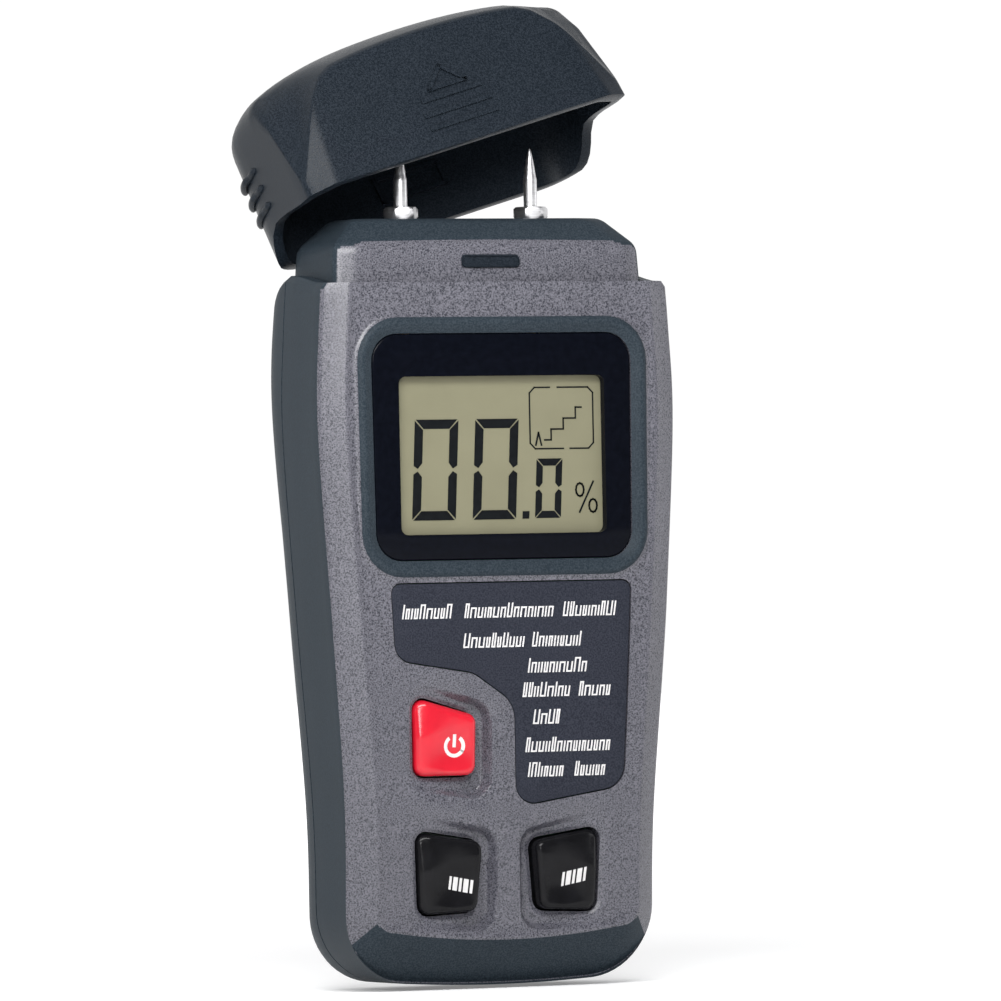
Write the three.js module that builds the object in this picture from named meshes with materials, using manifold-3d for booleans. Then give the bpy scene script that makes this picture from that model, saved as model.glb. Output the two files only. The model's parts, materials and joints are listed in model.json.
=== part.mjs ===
// Two-pin moisture meter for wood and floors, with its pull-off cap held open above the pins.
// Millimetres. +X is the display's right, +Y points to the back, +Z is up; z = 0 is the flat base.
import * as THREE from "three";
import { mergeVertices } from "three/addons/utils/BufferGeometryUtils.js";
import Module from "manifold-3d";

// ---------------------------------------------------------------- driving dimensions
const FRONT_Y = -14.6; // flat front, above the waist
const BACK_Y = 13.4; // flat back
const PARTING_Y = 1; // where front and rear shell meet
const WALL = 2; // shell thickness
const GAP = 0.3; // running and joint gap between pieces

const SEAM_FRONT_Z = 113.3; // shoulder of the body, where the cap's rim rests
const SEAM_PEAK_Z = 114.9;
const SEAM_REAR_Z = 109.8;
const SEAM_FRONT_Y = -12; // where the shoulder line turns
const SEAM_REAR_Y = 9;

const CORNER_RADIUS = 12; // lower corners, seen from the front
const CORNER_X = 15.6; // their centres
const SIDE_STATIONS = [ // widest half width along the height, above the lower corners
  [12, 27.6],
  [30, 27.9],
  [60, 30.1],
  [90, 31.9],
  [106, 31.4],
  [118, 30.5],
];
const CHAMFER_WIDTH = 4.1; // long bevel between front and side
const SIDE_DRAFT = 0.4;
const BASE_BEVEL_Z = 7.5; // height of the bevels above the base
const BASE_BEVEL_Y = 5.5;
const BASE_ROUND = 7;

const NECK_TOP_Z = 123.8;
const NECK_BEVEL_Z = 119.2;
const NECK_FLANGE_Z = 104.2; // underside of the flange that the shells hold
const NECK_FLANGE_HEIGHT = 2;
const NECK_FLANGE_OUT = 0.5;
const NECK_FRONT_Y = -11.5;
const NECK_BACK_Y = 9.7;
const LATCH_SLOT = { halfX: 5.3, bottom: 115.8, top: 117.8, back: -10.3 };

const CAP_HALF_X = 30.7; // at the rim
const CAP_WALL = 1.8;
const CAP_RIB = { heights: [118.6, 121.7, 124.8], centreY: 5.6, length: 8.6, width: 1.1, proud: 0.5 };
const CAP_TOP_WALL = 1.3;
const CAP_CROWN_Z = 138.7;
const CAP_OPEN_ANGLE = THREE.MathUtils.degToRad(27.4);
const CAP_HINGE_AXIS = new THREE.Vector3(-0.8, -0.6, 0);
const CAP_HINGE_POINT = new THREE.Vector3(-22.45, 29.93, 116.23);

const LENS = { halfTop: 23.1, halfBottom: 22.7, bottom: 68.5, top: 105.05, radius: 4.5, thick: 1.2 };
const BEZEL_WIDTH = 1.7;
const BEZEL_HEIGHT = 0.6;
const LCD_OPENING = { halfTop: 21.3, halfBottom: 21.3, bottom: 70.1, top: 101.7 };
const LCD_GLASS = { halfX: 21, bottom: 70.4, top: 101.4, front: -12.9, back: -10.3 };

const PCB_FRONT_Y = -7.7;
const PCB_BACK_Y = -6.4;
const FLANGE_OUT = 1.1; // how far a button's flange reaches behind the shell

const PIN_X = 11.6;
const PIN_Y = -2;
const PIN_TIP_Z = 135.4;
const PIN_RADIUS = 1.1;
const NUT_FLATS = 5;
const NUT_HEIGHT = 1.9;
const SOCKET_RADIUS = 2.2;

const STUD_X = 6.3; // the battery's two studs
const BATTERY = { halfX: 13.25, front: -6, back: 11.5, bottom: 14, top: 62.5 };
const BAY = { halfX: 14.7, bottom: 12.4, top: 70.5 };
const DOOR = { halfX: 14, bottom: 12.9, top: 68.6, thick: 1.5 };
const GRIP = { halfX: 6, depth: 0.5, width: 1.2, heights: [57, 59.4, 61.8, 64.2] }; // door's grooves
const DOOR_PIVOT_Z = DOOR.bottom + DOOR.thick / 2;
const DOOR_PIVOT_Y = BACK_Y - DOOR.thick / 2;
const DOOR_PIVOT_RADIUS = 0.6;

const CASE_SCREWS = [[24.2, 99.4], [19.3, 9.6]]; // x, z; each on both sides
const PCB_SCREWS = [[25.3, 92.5], [24, 64.5]];
const BOSS_RADIUS = 2.8;
const CASE_BOSS_END = -0.6; // y where the front shell's screw posts end
const SCREW_RADIUS = 1.1;
const SCREW_HEAD_RADIUS = 2.2;
const CASE_SCREW_HEAD_Y = 3.6; // underside of the heads, deep in the rear shell's wells
const CASE_SCREW_LENGTH = 11;
const BOARD_SCREW_LENGTH = 4;

// ---------------------------------------------------------------- solids
const wasm = await Module();
wasm.setup();

// A closed three.js geometry as a solid that can be joined and cut.
function solid(geometry) {
  const bare = geometry.clone();
  bare.deleteAttribute("normal");
  bare.deleteAttribute("uv");
  const merged = mergeVertices(bare, 1e-4);
  return new wasm.Manifold(
    new wasm.Mesh({
      numProp: 3,
      vertProperties: merged.attributes.position.array,
      triVerts: new Uint32Array(merged.index.array),
    }),
  );
}

function geometryOf(made) {
  const mesh = made.getMesh();
  return new THREE.BufferGeometry()
    .setAttribute("position", new THREE.BufferAttribute(mesh.vertProperties, 3))
    .setIndex(new THREE.BufferAttribute(mesh.triVerts, 1));
}

const join = (...solids) => solids.reduce((a, b) => a.add(b));
const cut = (body, ...tools) => tools.reduce((a, b) => a.subtract(b), body);

// A box from its lowest to its highest corner.
function block(x0, x1, y0, y1, z0, z1) {
  const geometry = new THREE.BoxGeometry(x1 - x0, y1 - y0, z1 - z0);
  return solid(geometry.translate((x0 + x1) / 2, (y0 + y1) / 2, (z0 + z1) / 2));
}

// A round bar along Y, at (x, z).
function barY(radius, x, z, y0, y1, sides = 20) {
  const geometry = new THREE.CylinderGeometry(radius, radius, y1 - y0, sides);
  return solid(geometry.translate(x, (y0 + y1) / 2, z));
}

// A round bar along X, at (y, z).
function barX(radius, x0, x1, y, z, sides = 16) {
  const geometry = new THREE.CylinderGeometry(radius, radius, x1 - x0, sides).rotateZ(Math.PI / 2);
  return solid(geometry.translate((x0 + x1) / 2, y, z));
}

// A body of revolution about a vertical line at (x, y); the profile runs from the axis back to it.
function turned(profile, x, y, sides = 20) {
  const points = profile.map(([r, z]) => new THREE.Vector2(r, z));
  const geometry = new THREE.LatheGeometry(points, sides).rotateX(Math.PI / 2);
  return solid(geometry.translate(x, y, 0));
}

// A closed outline with rounded corners, as a shape.
function roundedShape(corners, radius) {
  const shape = new THREE.Shape();
  corners.forEach((corner, i) => {
    const here = new THREE.Vector2(...corner);
    const before = new THREE.Vector2(...corners.at(i - 1));
    const after = new THREE.Vector2(...corners[(i + 1) % corners.length]);
    const start = here.clone().add(before.sub(here).setLength(radius));
    const end = here.clone().add(after.sub(here).setLength(radius));
    if (i === 0) shape.moveTo(start.x, start.y);
    else shape.lineTo(start.x, start.y);
    shape.quadraticCurveTo(here.x, here.y, end.x, end.y);
  });
  shape.closePath();
  return shape;
}

// A front-view outline (x, z) drawn out along Y.
function prismY(shape, y0, y1, curveSegments = 4) {
  const geometry = new THREE.ExtrudeGeometry(shape, { depth: y1 - y0, bevelEnabled: false, curveSegments });
  return solid(geometry.rotateX(Math.PI / 2).translate(0, y1, 0));
}

// A top-view outline (x, y) drawn out along Z.
function prismZ(shape, z0, z1, curveSegments = 3) {
  const geometry = new THREE.ExtrudeGeometry(shape, { depth: z1 - z0, bevelEnabled: false, curveSegments });
  return solid(geometry.translate(0, 0, z0));
}

// A side-view outline (y, z) drawn out along X.
function prismX(points, x0, x1) {
  const shape = new THREE.Shape(points.map(([y, z]) => new THREE.Vector2(y, z)));
  const geometry = new THREE.ExtrudeGeometry(shape, { depth: x1 - x0, bevelEnabled: false });
  geometry.applyMatrix4(
    new THREE.Matrix4().makeBasis(
      new THREE.Vector3(0, 1, 0),
      new THREE.Vector3(0, 0, 1),
      new THREE.Vector3(1, 0, 0),
    ),
  );
  return solid(geometry.translate(x0, 0, 0));
}

// A skin over horizontal sections, each a loop of the same number of points, closed at both ends.
function loft(sections) {
  const count = sections[0].length;
  const positions = sections.flat().flatMap((p) => [p.x, p.y, p.z]);
  const index = [];
  for (let s = 0; s + 1 < sections.length; s++) {
    for (let i = 0; i < count; i++) {
      const a = s * count + i;
      const b = s * count + ((i + 1) % count);
      index.push(a, b, b + count, a, b + count, a + count);
    }
  }
  const ends = [
    [0, true],
    [sections.length - 1, false],
  ];
  for (const [s, flip] of ends) {
    const loop = sections[s].map((p) => new THREE.Vector2(p.x, p.y));
    for (const [a, b, c] of THREE.ShapeUtils.triangulateShape(loop, [])) {
      const face = flip ? [a, c, b] : [a, b, c];
      index.push(...face.map((i) => i + s * count));
    }
  }
  const geometry = new THREE.BufferGeometry();
  geometry.setAttribute("position", new THREE.Float32BufferAttribute(positions, 3));
  return solid(geometry.setIndex(index));
}

// One horizontal section, anticlockwise from above: flat front, bevels, drafted sides, rounded back.
function section({ z, half, halfFace, front, bevel, back, rearRadius }) {
  const right = [
    [halfFace, front],
    [half - SIDE_DRAFT, front + bevel],
    [half, Math.min(PARTING_Y, back - rearRadius - 0.05)],
  ];
  const arcSteps = 6;
  for (let i = 0; i <= arcSteps; i++) {
    const angle = (i / arcSteps) * (Math.PI / 2);
    right.push([
      half - rearRadius + rearRadius * Math.cos(angle),
      back - rearRadius + rearRadius * Math.sin(angle),
    ]);
  }
  const left = right.map(([x, y]) => [-x, y]).reverse();
  return [...right, ...left].map(([x, y]) => new THREE.Vector3(x, y, z));
}

// ---------------------------------------------------------------- the body's outer form
const lerp = THREE.MathUtils.lerp;
const clamp01 = (t) => THREE.MathUtils.clamp(t, 0, 1);

// Front face at height z: flat above the waist, falling back towards the base.
function frontAt(z) {
  const waist = 60;
  const fall = z < waist ? 1.5 * ((waist - z) / 50) ** 2 : 0;
  const bevel = z < BASE_BEVEL_Z ? ((BASE_BEVEL_Z - z) / BASE_BEVEL_Z) * BASE_BEVEL_Y : 0;
  return FRONT_Y + fall + bevel;
}

function backAt(z) {
  if (z >= BASE_ROUND) return BACK_Y;
  return BACK_Y - BASE_ROUND + Math.sqrt(BASE_ROUND ** 2 - (BASE_ROUND - z) ** 2);
}

function bodySection(z, half, inset) {
  const back = backAt(z) - inset;
  const rearRadius = lerp(12.9, 9, clamp01((z - 60) / 40)) - inset;
  return section({
    z,
    half: half - inset,
    halfFace: half - CHAMFER_WIDTH - SIDE_DRAFT - inset * 0.9,
    front: frontAt(z) + inset,
    bevel: lerp(3.2, 2, clamp01((z - 15) / 45)),
    back,
    rearRadius: Math.min(rearRadius, back - 0.3),
  });
}

// The body, or the form a given distance inside it.
function bodyForm(inset = 0) {
  const sections = [];
  const cornerSteps = 5;
  for (let i = 0; i < cornerSteps; i++) {
    const angle = (i / cornerSteps) * (Math.PI / 2);
    const z = CORNER_RADIUS * (1 - Math.cos(angle));
    const half = CORNER_X + CORNER_RADIUS * Math.sin(angle);
    if (z >= inset) sections.push(bodySection(z, half, inset));
    else if (i === 0) sections.push(bodySection(inset, CORNER_X + 7, inset));
  }
  const sides = new THREE.SplineCurve(SIDE_STATIONS.map(([z, half]) => new THREE.Vector2(z, half)));
  for (const { x: z, y: half } of sides.getPoints(15)) sections.push(bodySection(z, half, inset));
  return loft(sections);
}

// The layer of the body between two depths below its surface.
const layer = (outer, inner) => cut(bodyForm(outer), bodyForm(inner));

// Everything above the shoulder line, which rises to the parting line and falls to the back.
function aboveSeam(offset) {
  const far = 40;
  return prismX(
    [
      [-far, SEAM_FRONT_Z + offset],
      [SEAM_FRONT_Y, SEAM_FRONT_Z + offset],
      [PARTING_Y, SEAM_PEAK_Z + offset],
      [SEAM_REAR_Y, SEAM_REAR_Z + offset],
      [far, SEAM_REAR_Z + offset],
      [far, 170],
      [-far, 170],
    ],
    -far,
    far,
  );
}

// Everything below that line.
const belowSeam = (offset) => cut(block(-39, 39, -39, 39, -10, 160), aboveSeam(offset));

const bothSides = (make) => [make(-1), make(1)];

// ---------------------------------------------------------------- probe head
// The insulating block between the shells that carries the two pins.
function neckSection(z, spread, front, back, grow) {
  return section({
    z,
    half: 27.9 + spread + grow,
    halfFace: 24.3 + spread + grow * 0.9,
    front: front - grow,
    bevel: 1.1 + 0.8 * grow,
    back: back + grow,
    rearRadius: 6 + grow,
  });
}

function neckForm(grow = 0) {
  return loft([
    neckSection(NECK_FLANGE_Z - grow, 0, NECK_FRONT_Y, NECK_BACK_Y, grow),
    neckSection(SEAM_FRONT_Z, 0, NECK_FRONT_Y, NECK_BACK_Y, grow),
    neckSection(NECK_BEVEL_Z, -0.6, -10.9, 9.2, grow),
    neckSection(NECK_TOP_Z + grow, -5.4, -7.4, 6.6, grow),
  ]);
}

function probeHead() {
  const flange = loft(
    [0, NECK_FLANGE_HEIGHT].map((up) =>
      neckSection(NECK_FLANGE_Z + up, 0, NECK_FRONT_Y, NECK_BACK_Y, NECK_FLANGE_OUT),
    ),
  );
  const hollow = (x0, x1) => block(x0, x1, -7.6, 5.6, NECK_FLANGE_Z - 2, NECK_BEVEL_Z - 0.4);
  const { halfX, bottom, top, back } = LATCH_SLOT;
  const slot = block(-halfX, halfX, -13, back, bottom, top);
  const pinHoles = bothSides((side) =>
    turned(
      [[0, 90], [SOCKET_RADIUS + GAP, 90], [SOCKET_RADIUS + GAP, 130], [0, 130]],
      side * PIN_X,
      PIN_Y,
    ),
  );
  const hollows = [hollow(-24.5, -15.6), hollow(-7.8, 7.8), hollow(15.6, 24.5)];
  return cut(join(neckForm(), flange), ...hollows, slot, ...pinHoles);
}

// ---------------------------------------------------------------- outlines on the front
const lensCorners = ({ halfTop, halfBottom, bottom, top }, grow = 0) => [
  [-halfBottom - grow, bottom - grow],
  [halfBottom + grow, bottom - grow],
  [halfTop + grow, top + grow],
  [-halfTop - grow, top + grow],
];
const lensShape = (grow = 0) => roundedShape(lensCorners(LENS, grow), LENS.radius + grow);

// The name plate steps round the power button.
function labelShape(grow = 0) {
  const corners = [
    [-20.3, 64.9],
    [22.4, 64.9],
    [20.6, 31.6],
    [1.4, 28.6],
    [1.2, 45.4],
    [-6, 50.4],
    [-19.7, 52.6],
  ];
  const centre = new THREE.Vector2(2, 55);
  const grown = corners.map(([x, z]) => {
    const out = new THREE.Vector2(x, z).sub(centre);
    return out.setLength(out.length() + grow * 1.3).add(centre).toArray();
  });
  return roundedShape(grown, 2.2);
}

const BUTTONS = {
  power: {
    corners: [[-16.9, 33.9], [-5.9, 33.9], [-5.9, 43.7], [-16.9, 46.6]],
    centre: [-11.3, 39.8],
    proud: 0.9,
  },
  mode: {
    corners: [[-15.8, 11.7], [-5.4, 12.1], [-4.6, 23], [-16.5, 25.2]],
    centre: [-10.6, 18],
    proud: 0.8,
  },
};
BUTTONS.hold = {
  ...BUTTONS.mode,
  corners: BUTTONS.mode.corners.map(([x, z]) => [-x, z]).reverse(),
  centre: [10.6, 18],
};

function buttonShape({ corners, centre }, grow) {
  const middle = new THREE.Vector2(...centre);
  const grown = corners.map(([x, z]) => {
    const out = new THREE.Vector2(x, z).sub(middle);
    return out.setLength(out.length() + grow * 1.3).add(middle).toArray();
  });
  return roundedShape(grown, 1.8 + Math.max(grow, -0.5));
}

// ---------------------------------------------------------------- casing
function frontShell() {
  const half = block(-40, 40, -40, PARTING_Y - GAP / 2, -5, 130);
  const skin = cut(bodyForm(), bodyForm(WALL), aboveSeam(0));
  const ceiling = cut(bodyForm(0.5), aboveSeam(0), belowSeam(-WALL));
  const bezel = cut(
    prismY(lensShape(BEZEL_WIDTH), FRONT_Y - BEZEL_HEIGHT, FRONT_Y + 1),
    prismY(lensShape(GAP / 2), -30, 0),
  );
  const bossTo = (end) => ([x, z]) => bothSides((s) => barY(BOSS_RADIUS, s * x, z, -13.4, end));
  const bosses = [
    ...CASE_SCREWS.flatMap(bossTo(CASE_BOSS_END)),
    ...PCB_SCREWS.flatMap(bossTo(PCB_FRONT_Y - GAP)),
  ].map((boss) => boss.intersect(bodyForm(0.5)));
  const pilots = [...CASE_SCREWS, ...PCB_SCREWS].flatMap(([x, z]) =>
    bothSides((s) => barY(SCREW_RADIUS + GAP, s * x, z, -11, 5, 12)),
  );
  const lensStep = prismY(lensShape(GAP), -30, FRONT_Y + LENS.thick + 0.2);
  const lcdOpening = prismY(roundedShape(lensCorners(LCD_OPENING), 1), -30, 0);
  const labelRecess = cut(prismY(labelShape(GAP), -30, 0), bodyForm(0.9));
  const buttonHoles = Object.values(BUTTONS).flatMap((button) => [
    prismY(buttonShape(button, 0.4), -30, -5),
    cut(prismY(buttonShape(button, 1.7), -30, 0), bodyForm(0.8)),
  ]);
  const openings = [lensStep, lcdOpening, labelRecess, ...buttonHoles, neckForm(GAP), ...pilots];
  return cut(join(skin, ceiling.intersect(bodyForm()), bezel, ...bosses).intersect(half), ...openings);
}

function rearShell() {
  const half = block(-40, 40, PARTING_Y + GAP / 2, 40, -5, 130);
  const skin = cut(bodyForm(), bodyForm(WALL), aboveSeam(0));
  const ceiling = cut(bodyForm(0.5), aboveSeam(0), belowSeam(-WALL));
  const bayWalls = cut(
    block(-BAY.halfX - 1.5, BAY.halfX + 1.5, PARTING_Y, 14, BAY.bottom - 1.5, BAY.top + 1.5),
    block(-BAY.halfX, BAY.halfX, -20, 20, BAY.bottom, BAY.top),
  ).intersect(bodyForm(0.5));
  const bosses = CASE_SCREWS.flatMap(([x, z]) =>
    bothSides((s) => barY(BOSS_RADIUS + 1, s * x, z, 0, 13.2)),
  );
  const reach = DOOR.halfX + GAP;
  const doorway = block(-reach, reach, 8, 20, DOOR.bottom - GAP, DOOR.top + GAP);
  const pivots = barX(DOOR_PIVOT_RADIUS + 0.35, -reach - 1, reach + 1, DOOR_PIVOT_Y, DOOR_PIVOT_Z);
  const leadNotch = block(-5, 5, -1, 7, BAY.top - 1, BAY.top + 3);
  const screwHoles = CASE_SCREWS.flatMap(([x, z]) =>
    bothSides((s) =>
      join(
        barY(SCREW_RADIUS + GAP, s * x, z, -1, 20, 12),
        barY(SCREW_HEAD_RADIUS + GAP, s * x, z, CASE_SCREW_HEAD_Y - GAP, 20),
      ),
    ),
  );
  const posts = bosses.map((boss) => boss.intersect(bodyForm(0.3)));
  const whole = join(skin, ceiling, bayWalls, ...posts).intersect(half);
  return cut(whole, doorway, pivots, leadNotch, neckForm(GAP), ...screwHoles);
}

function batteryDoor() {
  const { halfX, top, thick } = DOOR;
  const plate = block(-halfX, halfX, BACK_Y - thick, BACK_Y, DOOR_PIVOT_Z, top);
  const foot = barX(thick / 2, -halfX, halfX, DOOR_PIVOT_Y, DOOR_PIVOT_Z);
  const pivots = barX(DOOR_PIVOT_RADIUS, -halfX - 1, halfX + 1, DOOR_PIVOT_Y, DOOR_PIVOT_Z);
  const grips = GRIP.heights.map((z) =>
    block(-GRIP.halfX, GRIP.halfX, BACK_Y - GRIP.depth, 20, z, z + GRIP.width),
  );
  return cut(join(plate, foot, pivots), ...grips);
}

// ---------------------------------------------------------------- cap
function capSection(z, grow) {
  const rise = z - SEAM_FRONT_Z;
  return section({
    z,
    half: CAP_HALF_X - 0.035 * rise + grow,
    halfFace: 26.3 - 0.17 * rise + grow * 0.9,
    front: FRONT_Y + 0.02 * rise - grow,
    bevel: 2.5,
    back: BACK_Y - 0.02 * rise + grow,
    rearRadius: 9 + grow,
  });
}

// A block whose top is the cap's crown, falling away from the middle to all sides.
function crownForm(drop) {
  const geometry = new THREE.BoxGeometry(80, 50, 60, 20, 12, 1).translate(0, 0, CAP_CROWN_Z - 30);
  const position = geometry.getAttribute("position");
  for (let i = 0; i < position.count; i++) {
    if (position.getZ(i) < CAP_CROWN_Z - 1) continue;
    const x = Math.min(Math.abs(position.getX(i)), 36);
    const y = position.getY(i);
    position.setZ(i, CAP_CROWN_Z - 0.0035 * x ** 2 - 3e-6 * x ** 4 - 0.0225 * y ** 2 - drop);
  }
  return solid(geometry);
}

function protectiveCap() {
  const form = (heights, grow) => loft(heights.map((z) => capSection(z, grow)));
  const outer = form([100, 120, 128, 145], 0).intersect(crownForm(0));
  const inner = form([95, 120, 128, 150], -CAP_WALL).intersect(crownForm(CAP_TOP_WALL));
  const latch = block(-6, 6, 11, BACK_Y - 0.9, 112.6, 116.4);
  const ribLimit = form([100, 145], CAP_RIB.proud);
  const ribs = bothSides((side) =>
    CAP_RIB.heights.map((z) => {
      const rib = new THREE.BoxGeometry(1.4, CAP_RIB.length, CAP_RIB.width);
      return solid(rib.translate(side * CAP_HALF_X, CAP_RIB.centreY, z)).intersect(ribLimit);
    }),
  ).flat();
  return cut(join(outer, ...ribs), inner, latch, belowSeam(GAP));
}

// ---------------------------------------------------------------- display and board
function displayLens() {
  return prismY(lensShape(-0.15), FRONT_Y - 0.05, FRONT_Y + LENS.thick - 0.1);
}

function lcdGlass() {
  const { halfX, bottom, top, front, back } = LCD_GLASS;
  const half = halfX - 1.5;
  const middle = (front + back) / 2;
  const frontGlass = block(-half, half, front, middle, bottom + 2.4, top - 1);
  const rearGlass = block(-half, half, middle, back, bottom + 1, top - 1);
  return join(frontGlass, rearGlass);
}

function lcdFrame() {
  const { halfX, bottom, top, front } = LCD_GLASS;
  const outer = block(-halfX, halfX, front, PCB_FRONT_Y - 0.1, bottom, top);
  const window = block(-halfX + 1.2, halfX - 1.2, -20, 0, bottom + 0.7, top - 0.7);
  return cut(outer, window);
}

function zebraStrip(z) {
  return block(-17, 17, LCD_GLASS.back + 0.1, PCB_FRONT_Y - 0.1, z, z + 2);
}

function mainBoard() {
  const corners = [[-22, 14], [22, 14], [27.6, 66], [27.6, 96.2], [-27.6, 96.2], [-27.6, 66]];
  const holes = PCB_SCREWS.flatMap(([x, z]) =>
    bothSides((s) => barY(SCREW_RADIUS + GAP, s * x, z, -9, -5, 12)),
  );
  return cut(prismY(roundedShape(corners, 2), PCB_FRONT_Y, PCB_BACK_Y), ...holes);
}

function chipBlob() {
  const dome = new THREE.SphereGeometry(5, 16, 8).scale(1, 0.34, 1).translate(0, PCB_BACK_Y + 0.1, 86);
  return solid(dome).intersect(block(-9, 9, PCB_BACK_Y + 0.1, 0, 75, 95));
}

function amplifierChip() {
  const foot = PCB_BACK_Y + 0.1;
  const body = block(-2, 2, foot + 0.3, foot + 1.8, -2.5, 2.5);
  const legs = [-1.9, -0.65, 0.65, 1.9].map((z) => block(-3, 3, foot, foot + 0.6, z - 0.2, z + 0.2));
  return join(body, ...legs).translate([14, 0, 83]);
}

// A low tactile switch, and the plunger that runs in its bore.
function switchBase([x, z]) {
  const body = block(x - 3, x + 3, PCB_FRONT_Y - 1.25, PCB_FRONT_Y - 0.05, z - 3, z + 3);
  return cut(body, barY(1.9, x, z, -12, -5));
}

const switchPlunger = ([x, z]) => barY(1.5, x, z, PCB_FRONT_Y - 2.1, PCB_FRONT_Y - 0.75);

function buttonCap(button) {
  const [x, z] = button.centre;
  const lowest = Math.min(...button.corners.map((corner) => corner[1])) - FLANGE_OUT;
  const flangeFront = frontAt(lowest) + WALL + 0.25;
  const key = prismY(buttonShape(button, 0), -30, flangeFront + 0.4).intersect(bodyForm(-button.proud));
  const flange = prismY(buttonShape(button, FLANGE_OUT), flangeFront, flangeFront + 0.8);
  return join(key, flange, barY(2, x, z, flangeFront + 0.4, PCB_FRONT_Y - 2.4));
}

// ---------------------------------------------------------------- probes
function probePin(side) {
  const shoulder = NECK_TOP_Z - 6;
  return turned(
    [
      [0, shoulder],
      [PIN_RADIUS, shoulder],
      [PIN_RADIUS, 130.6],
      [0.85, 132.4],
      [0.2, PIN_TIP_Z - 0.3],
      [0, PIN_TIP_Z],
    ],
    side * PIN_X,
    PIN_Y,
    16,
  );
}

// The room a pin takes up, from a depth upwards.
function pinBore(side, from) {
  const radius = PIN_RADIUS + 0.1;
  return turned([[0, from], [radius, from], [radius, 130], [0, 130]], side * PIN_X, PIN_Y, 16);
}

function pinNut(side) {
  const radius = NUT_FLATS / Math.sqrt(3);
  const hexagon = new THREE.CylinderGeometry(radius, radius, NUT_HEIGHT, 6).rotateX(Math.PI / 2);
  const nut = solid(hexagon.translate(side * PIN_X, PIN_Y, NECK_TOP_Z + 0.1 + NUT_HEIGHT / 2));
  return cut(nut, pinBore(side, 110));
}

function pinSocket(side) {
  const tail = 1.1;
  const outer = [
    [0, 101.5],
    [tail, 101.5],
    [tail, 106],
    [SOCKET_RADIUS, 106],
    [SOCKET_RADIUS, NECK_TOP_Z - 0.2],
    [0, NECK_TOP_Z - 0.2],
  ];
  return cut(turned(outer, side * PIN_X, PIN_Y), pinBore(side, 112));
}

// A round wire along a smooth route.
function wire(radius, points, steps = 12) {
  const route = new THREE.CatmullRomCurve3(points.map((p) => new THREE.Vector3(...p)));
  const ring = new THREE.Shape().absarc(0, 0, radius, 0, 2 * Math.PI);
  return solid(new THREE.ExtrudeGeometry(ring, { extrudePath: route, steps, curveSegments: 3 }));
}

const probeLead = (side) =>
  wire(0.6, [
    [side * PIN_X, PIN_Y, 101.2],
    [side * PIN_X, PIN_Y + 0.2, 98.5],
    [side * (PIN_X + 1), -2.6, 95.5],
    [side * (PIN_X + 2), -5, 93.6],
    [side * (PIN_X + 2), PCB_BACK_Y + 0.1, 93.4],
  ]);

// ---------------------------------------------------------------- battery
function battery() {
  const { halfX, front, back, bottom, top } = BATTERY;
  const middle = (front + back) / 2;
  const studs = bothSides((side) => {
    const radius = side < 0 ? 2.8 : 3.4;
    const profile = [[0, top - 1], [radius, top - 1], [radius, top + 2], [0, top + 2]];
    return turned(profile, side * STUD_X, middle, 16);
  });
  const corners = [[-halfX, front], [halfX, front], [halfX, back], [-halfX, back]];
  return join(prismZ(roundedShape(corners, 1.5), bottom, top), ...studs);
}

function batterySnap() {
  const { top, front, back } = BATTERY;
  const middle = (front + back) / 2;
  const corners = [[-12.4, middle - 6], [12.4, middle - 6], [12.4, middle + 6], [-12.4, middle + 6]];
  const profile = [[0, top - 2], [3.9, top - 2], [3.9, top + 2.5], [0, top + 2.5]];
  const sockets = bothSides((side) => turned(profile, side * STUD_X, middle, 16));
  return cut(prismZ(roundedShape(corners, 3), top + GAP, top + 3.9), ...sockets);
}

const batteryLead = (x) =>
  wire(0.7, [
    [x, 2.7, BATTERY.top + 4.2],
    [x, 2.6, BATTERY.top + 7],
    [x * 1.1, 1, BATTERY.top + 12],
    [x * 1.2, -3.4, BATTERY.top + 13.5],
    [x * 1.2, PCB_BACK_Y + 0.1, BATTERY.top + 13.5],
  ]);

// ---------------------------------------------------------------- screws
// A pan-head screw along Y, driven from the back.
function screw(x, z, headY, length) {
  const headHeight = 1.6;
  const head = barY(SCREW_HEAD_RADIUS, x, z, headY, headY + headHeight, 16);
  const shank = barY(SCREW_RADIUS, x, z, headY - length, headY + 0.2, 12);
  const cross = join(
    block(x - 1.3, x + 1.3, headY + headHeight - 0.7, headY + 4, z - 0.3, z + 0.3),
    block(x - 0.3, x + 0.3, headY + headHeight - 0.7, headY + 4, z - 1.3, z + 1.3),
  );
  return cut(join(head, shank), cross);
}

const caseScrew = (x, z) => screw(x, z, CASE_SCREW_HEAD_Y, CASE_SCREW_LENGTH);
const boardScrew = (x, z) => screw(x, z, PCB_BACK_Y + 0.1, BOARD_SCREW_LENGTH);

// ---------------------------------------------------------------- assembly
const finish = (color, roughness, metalness = 0) =>
  new THREE.MeshStandardMaterial({ color, roughness, metalness });
const FINISH = {
  casing: finish(0x6f6f76, 0.6),
  black: finish(0x20262c, 0.55),
  head: finish(0x45474f, 0.55),
  lens: finish(0x0b0c12, 0.08),
  lcd: finish(0x9a9a80, 0.3),
  label: finish(0x41464e, 0.5),
  red: finish(0xd9203a, 0.3),
  key: finish(0x18191b, 0.25),
  white: finish(0xe8e8e2, 0.5),
  rubber: finish(0x2a2a2c, 0.9),
  board: finish(0x1f5f35, 0.5),
  brass: finish(0xc9a24a, 0.3, 1),
  steel: finish(0xc8cacc, 0.25, 1),
  cell: finish(0x30353c, 0.4),
  redWire: finish(0xb01818, 0.6),
};

const group = new THREE.Group();

function add(name, made, material) {
  const mesh = new THREE.Mesh(geometryOf(made), material);
  mesh.name = name;
  group.add(mesh);
  return mesh;
}

const SIDES = { left: -1, right: 1 };

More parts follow.
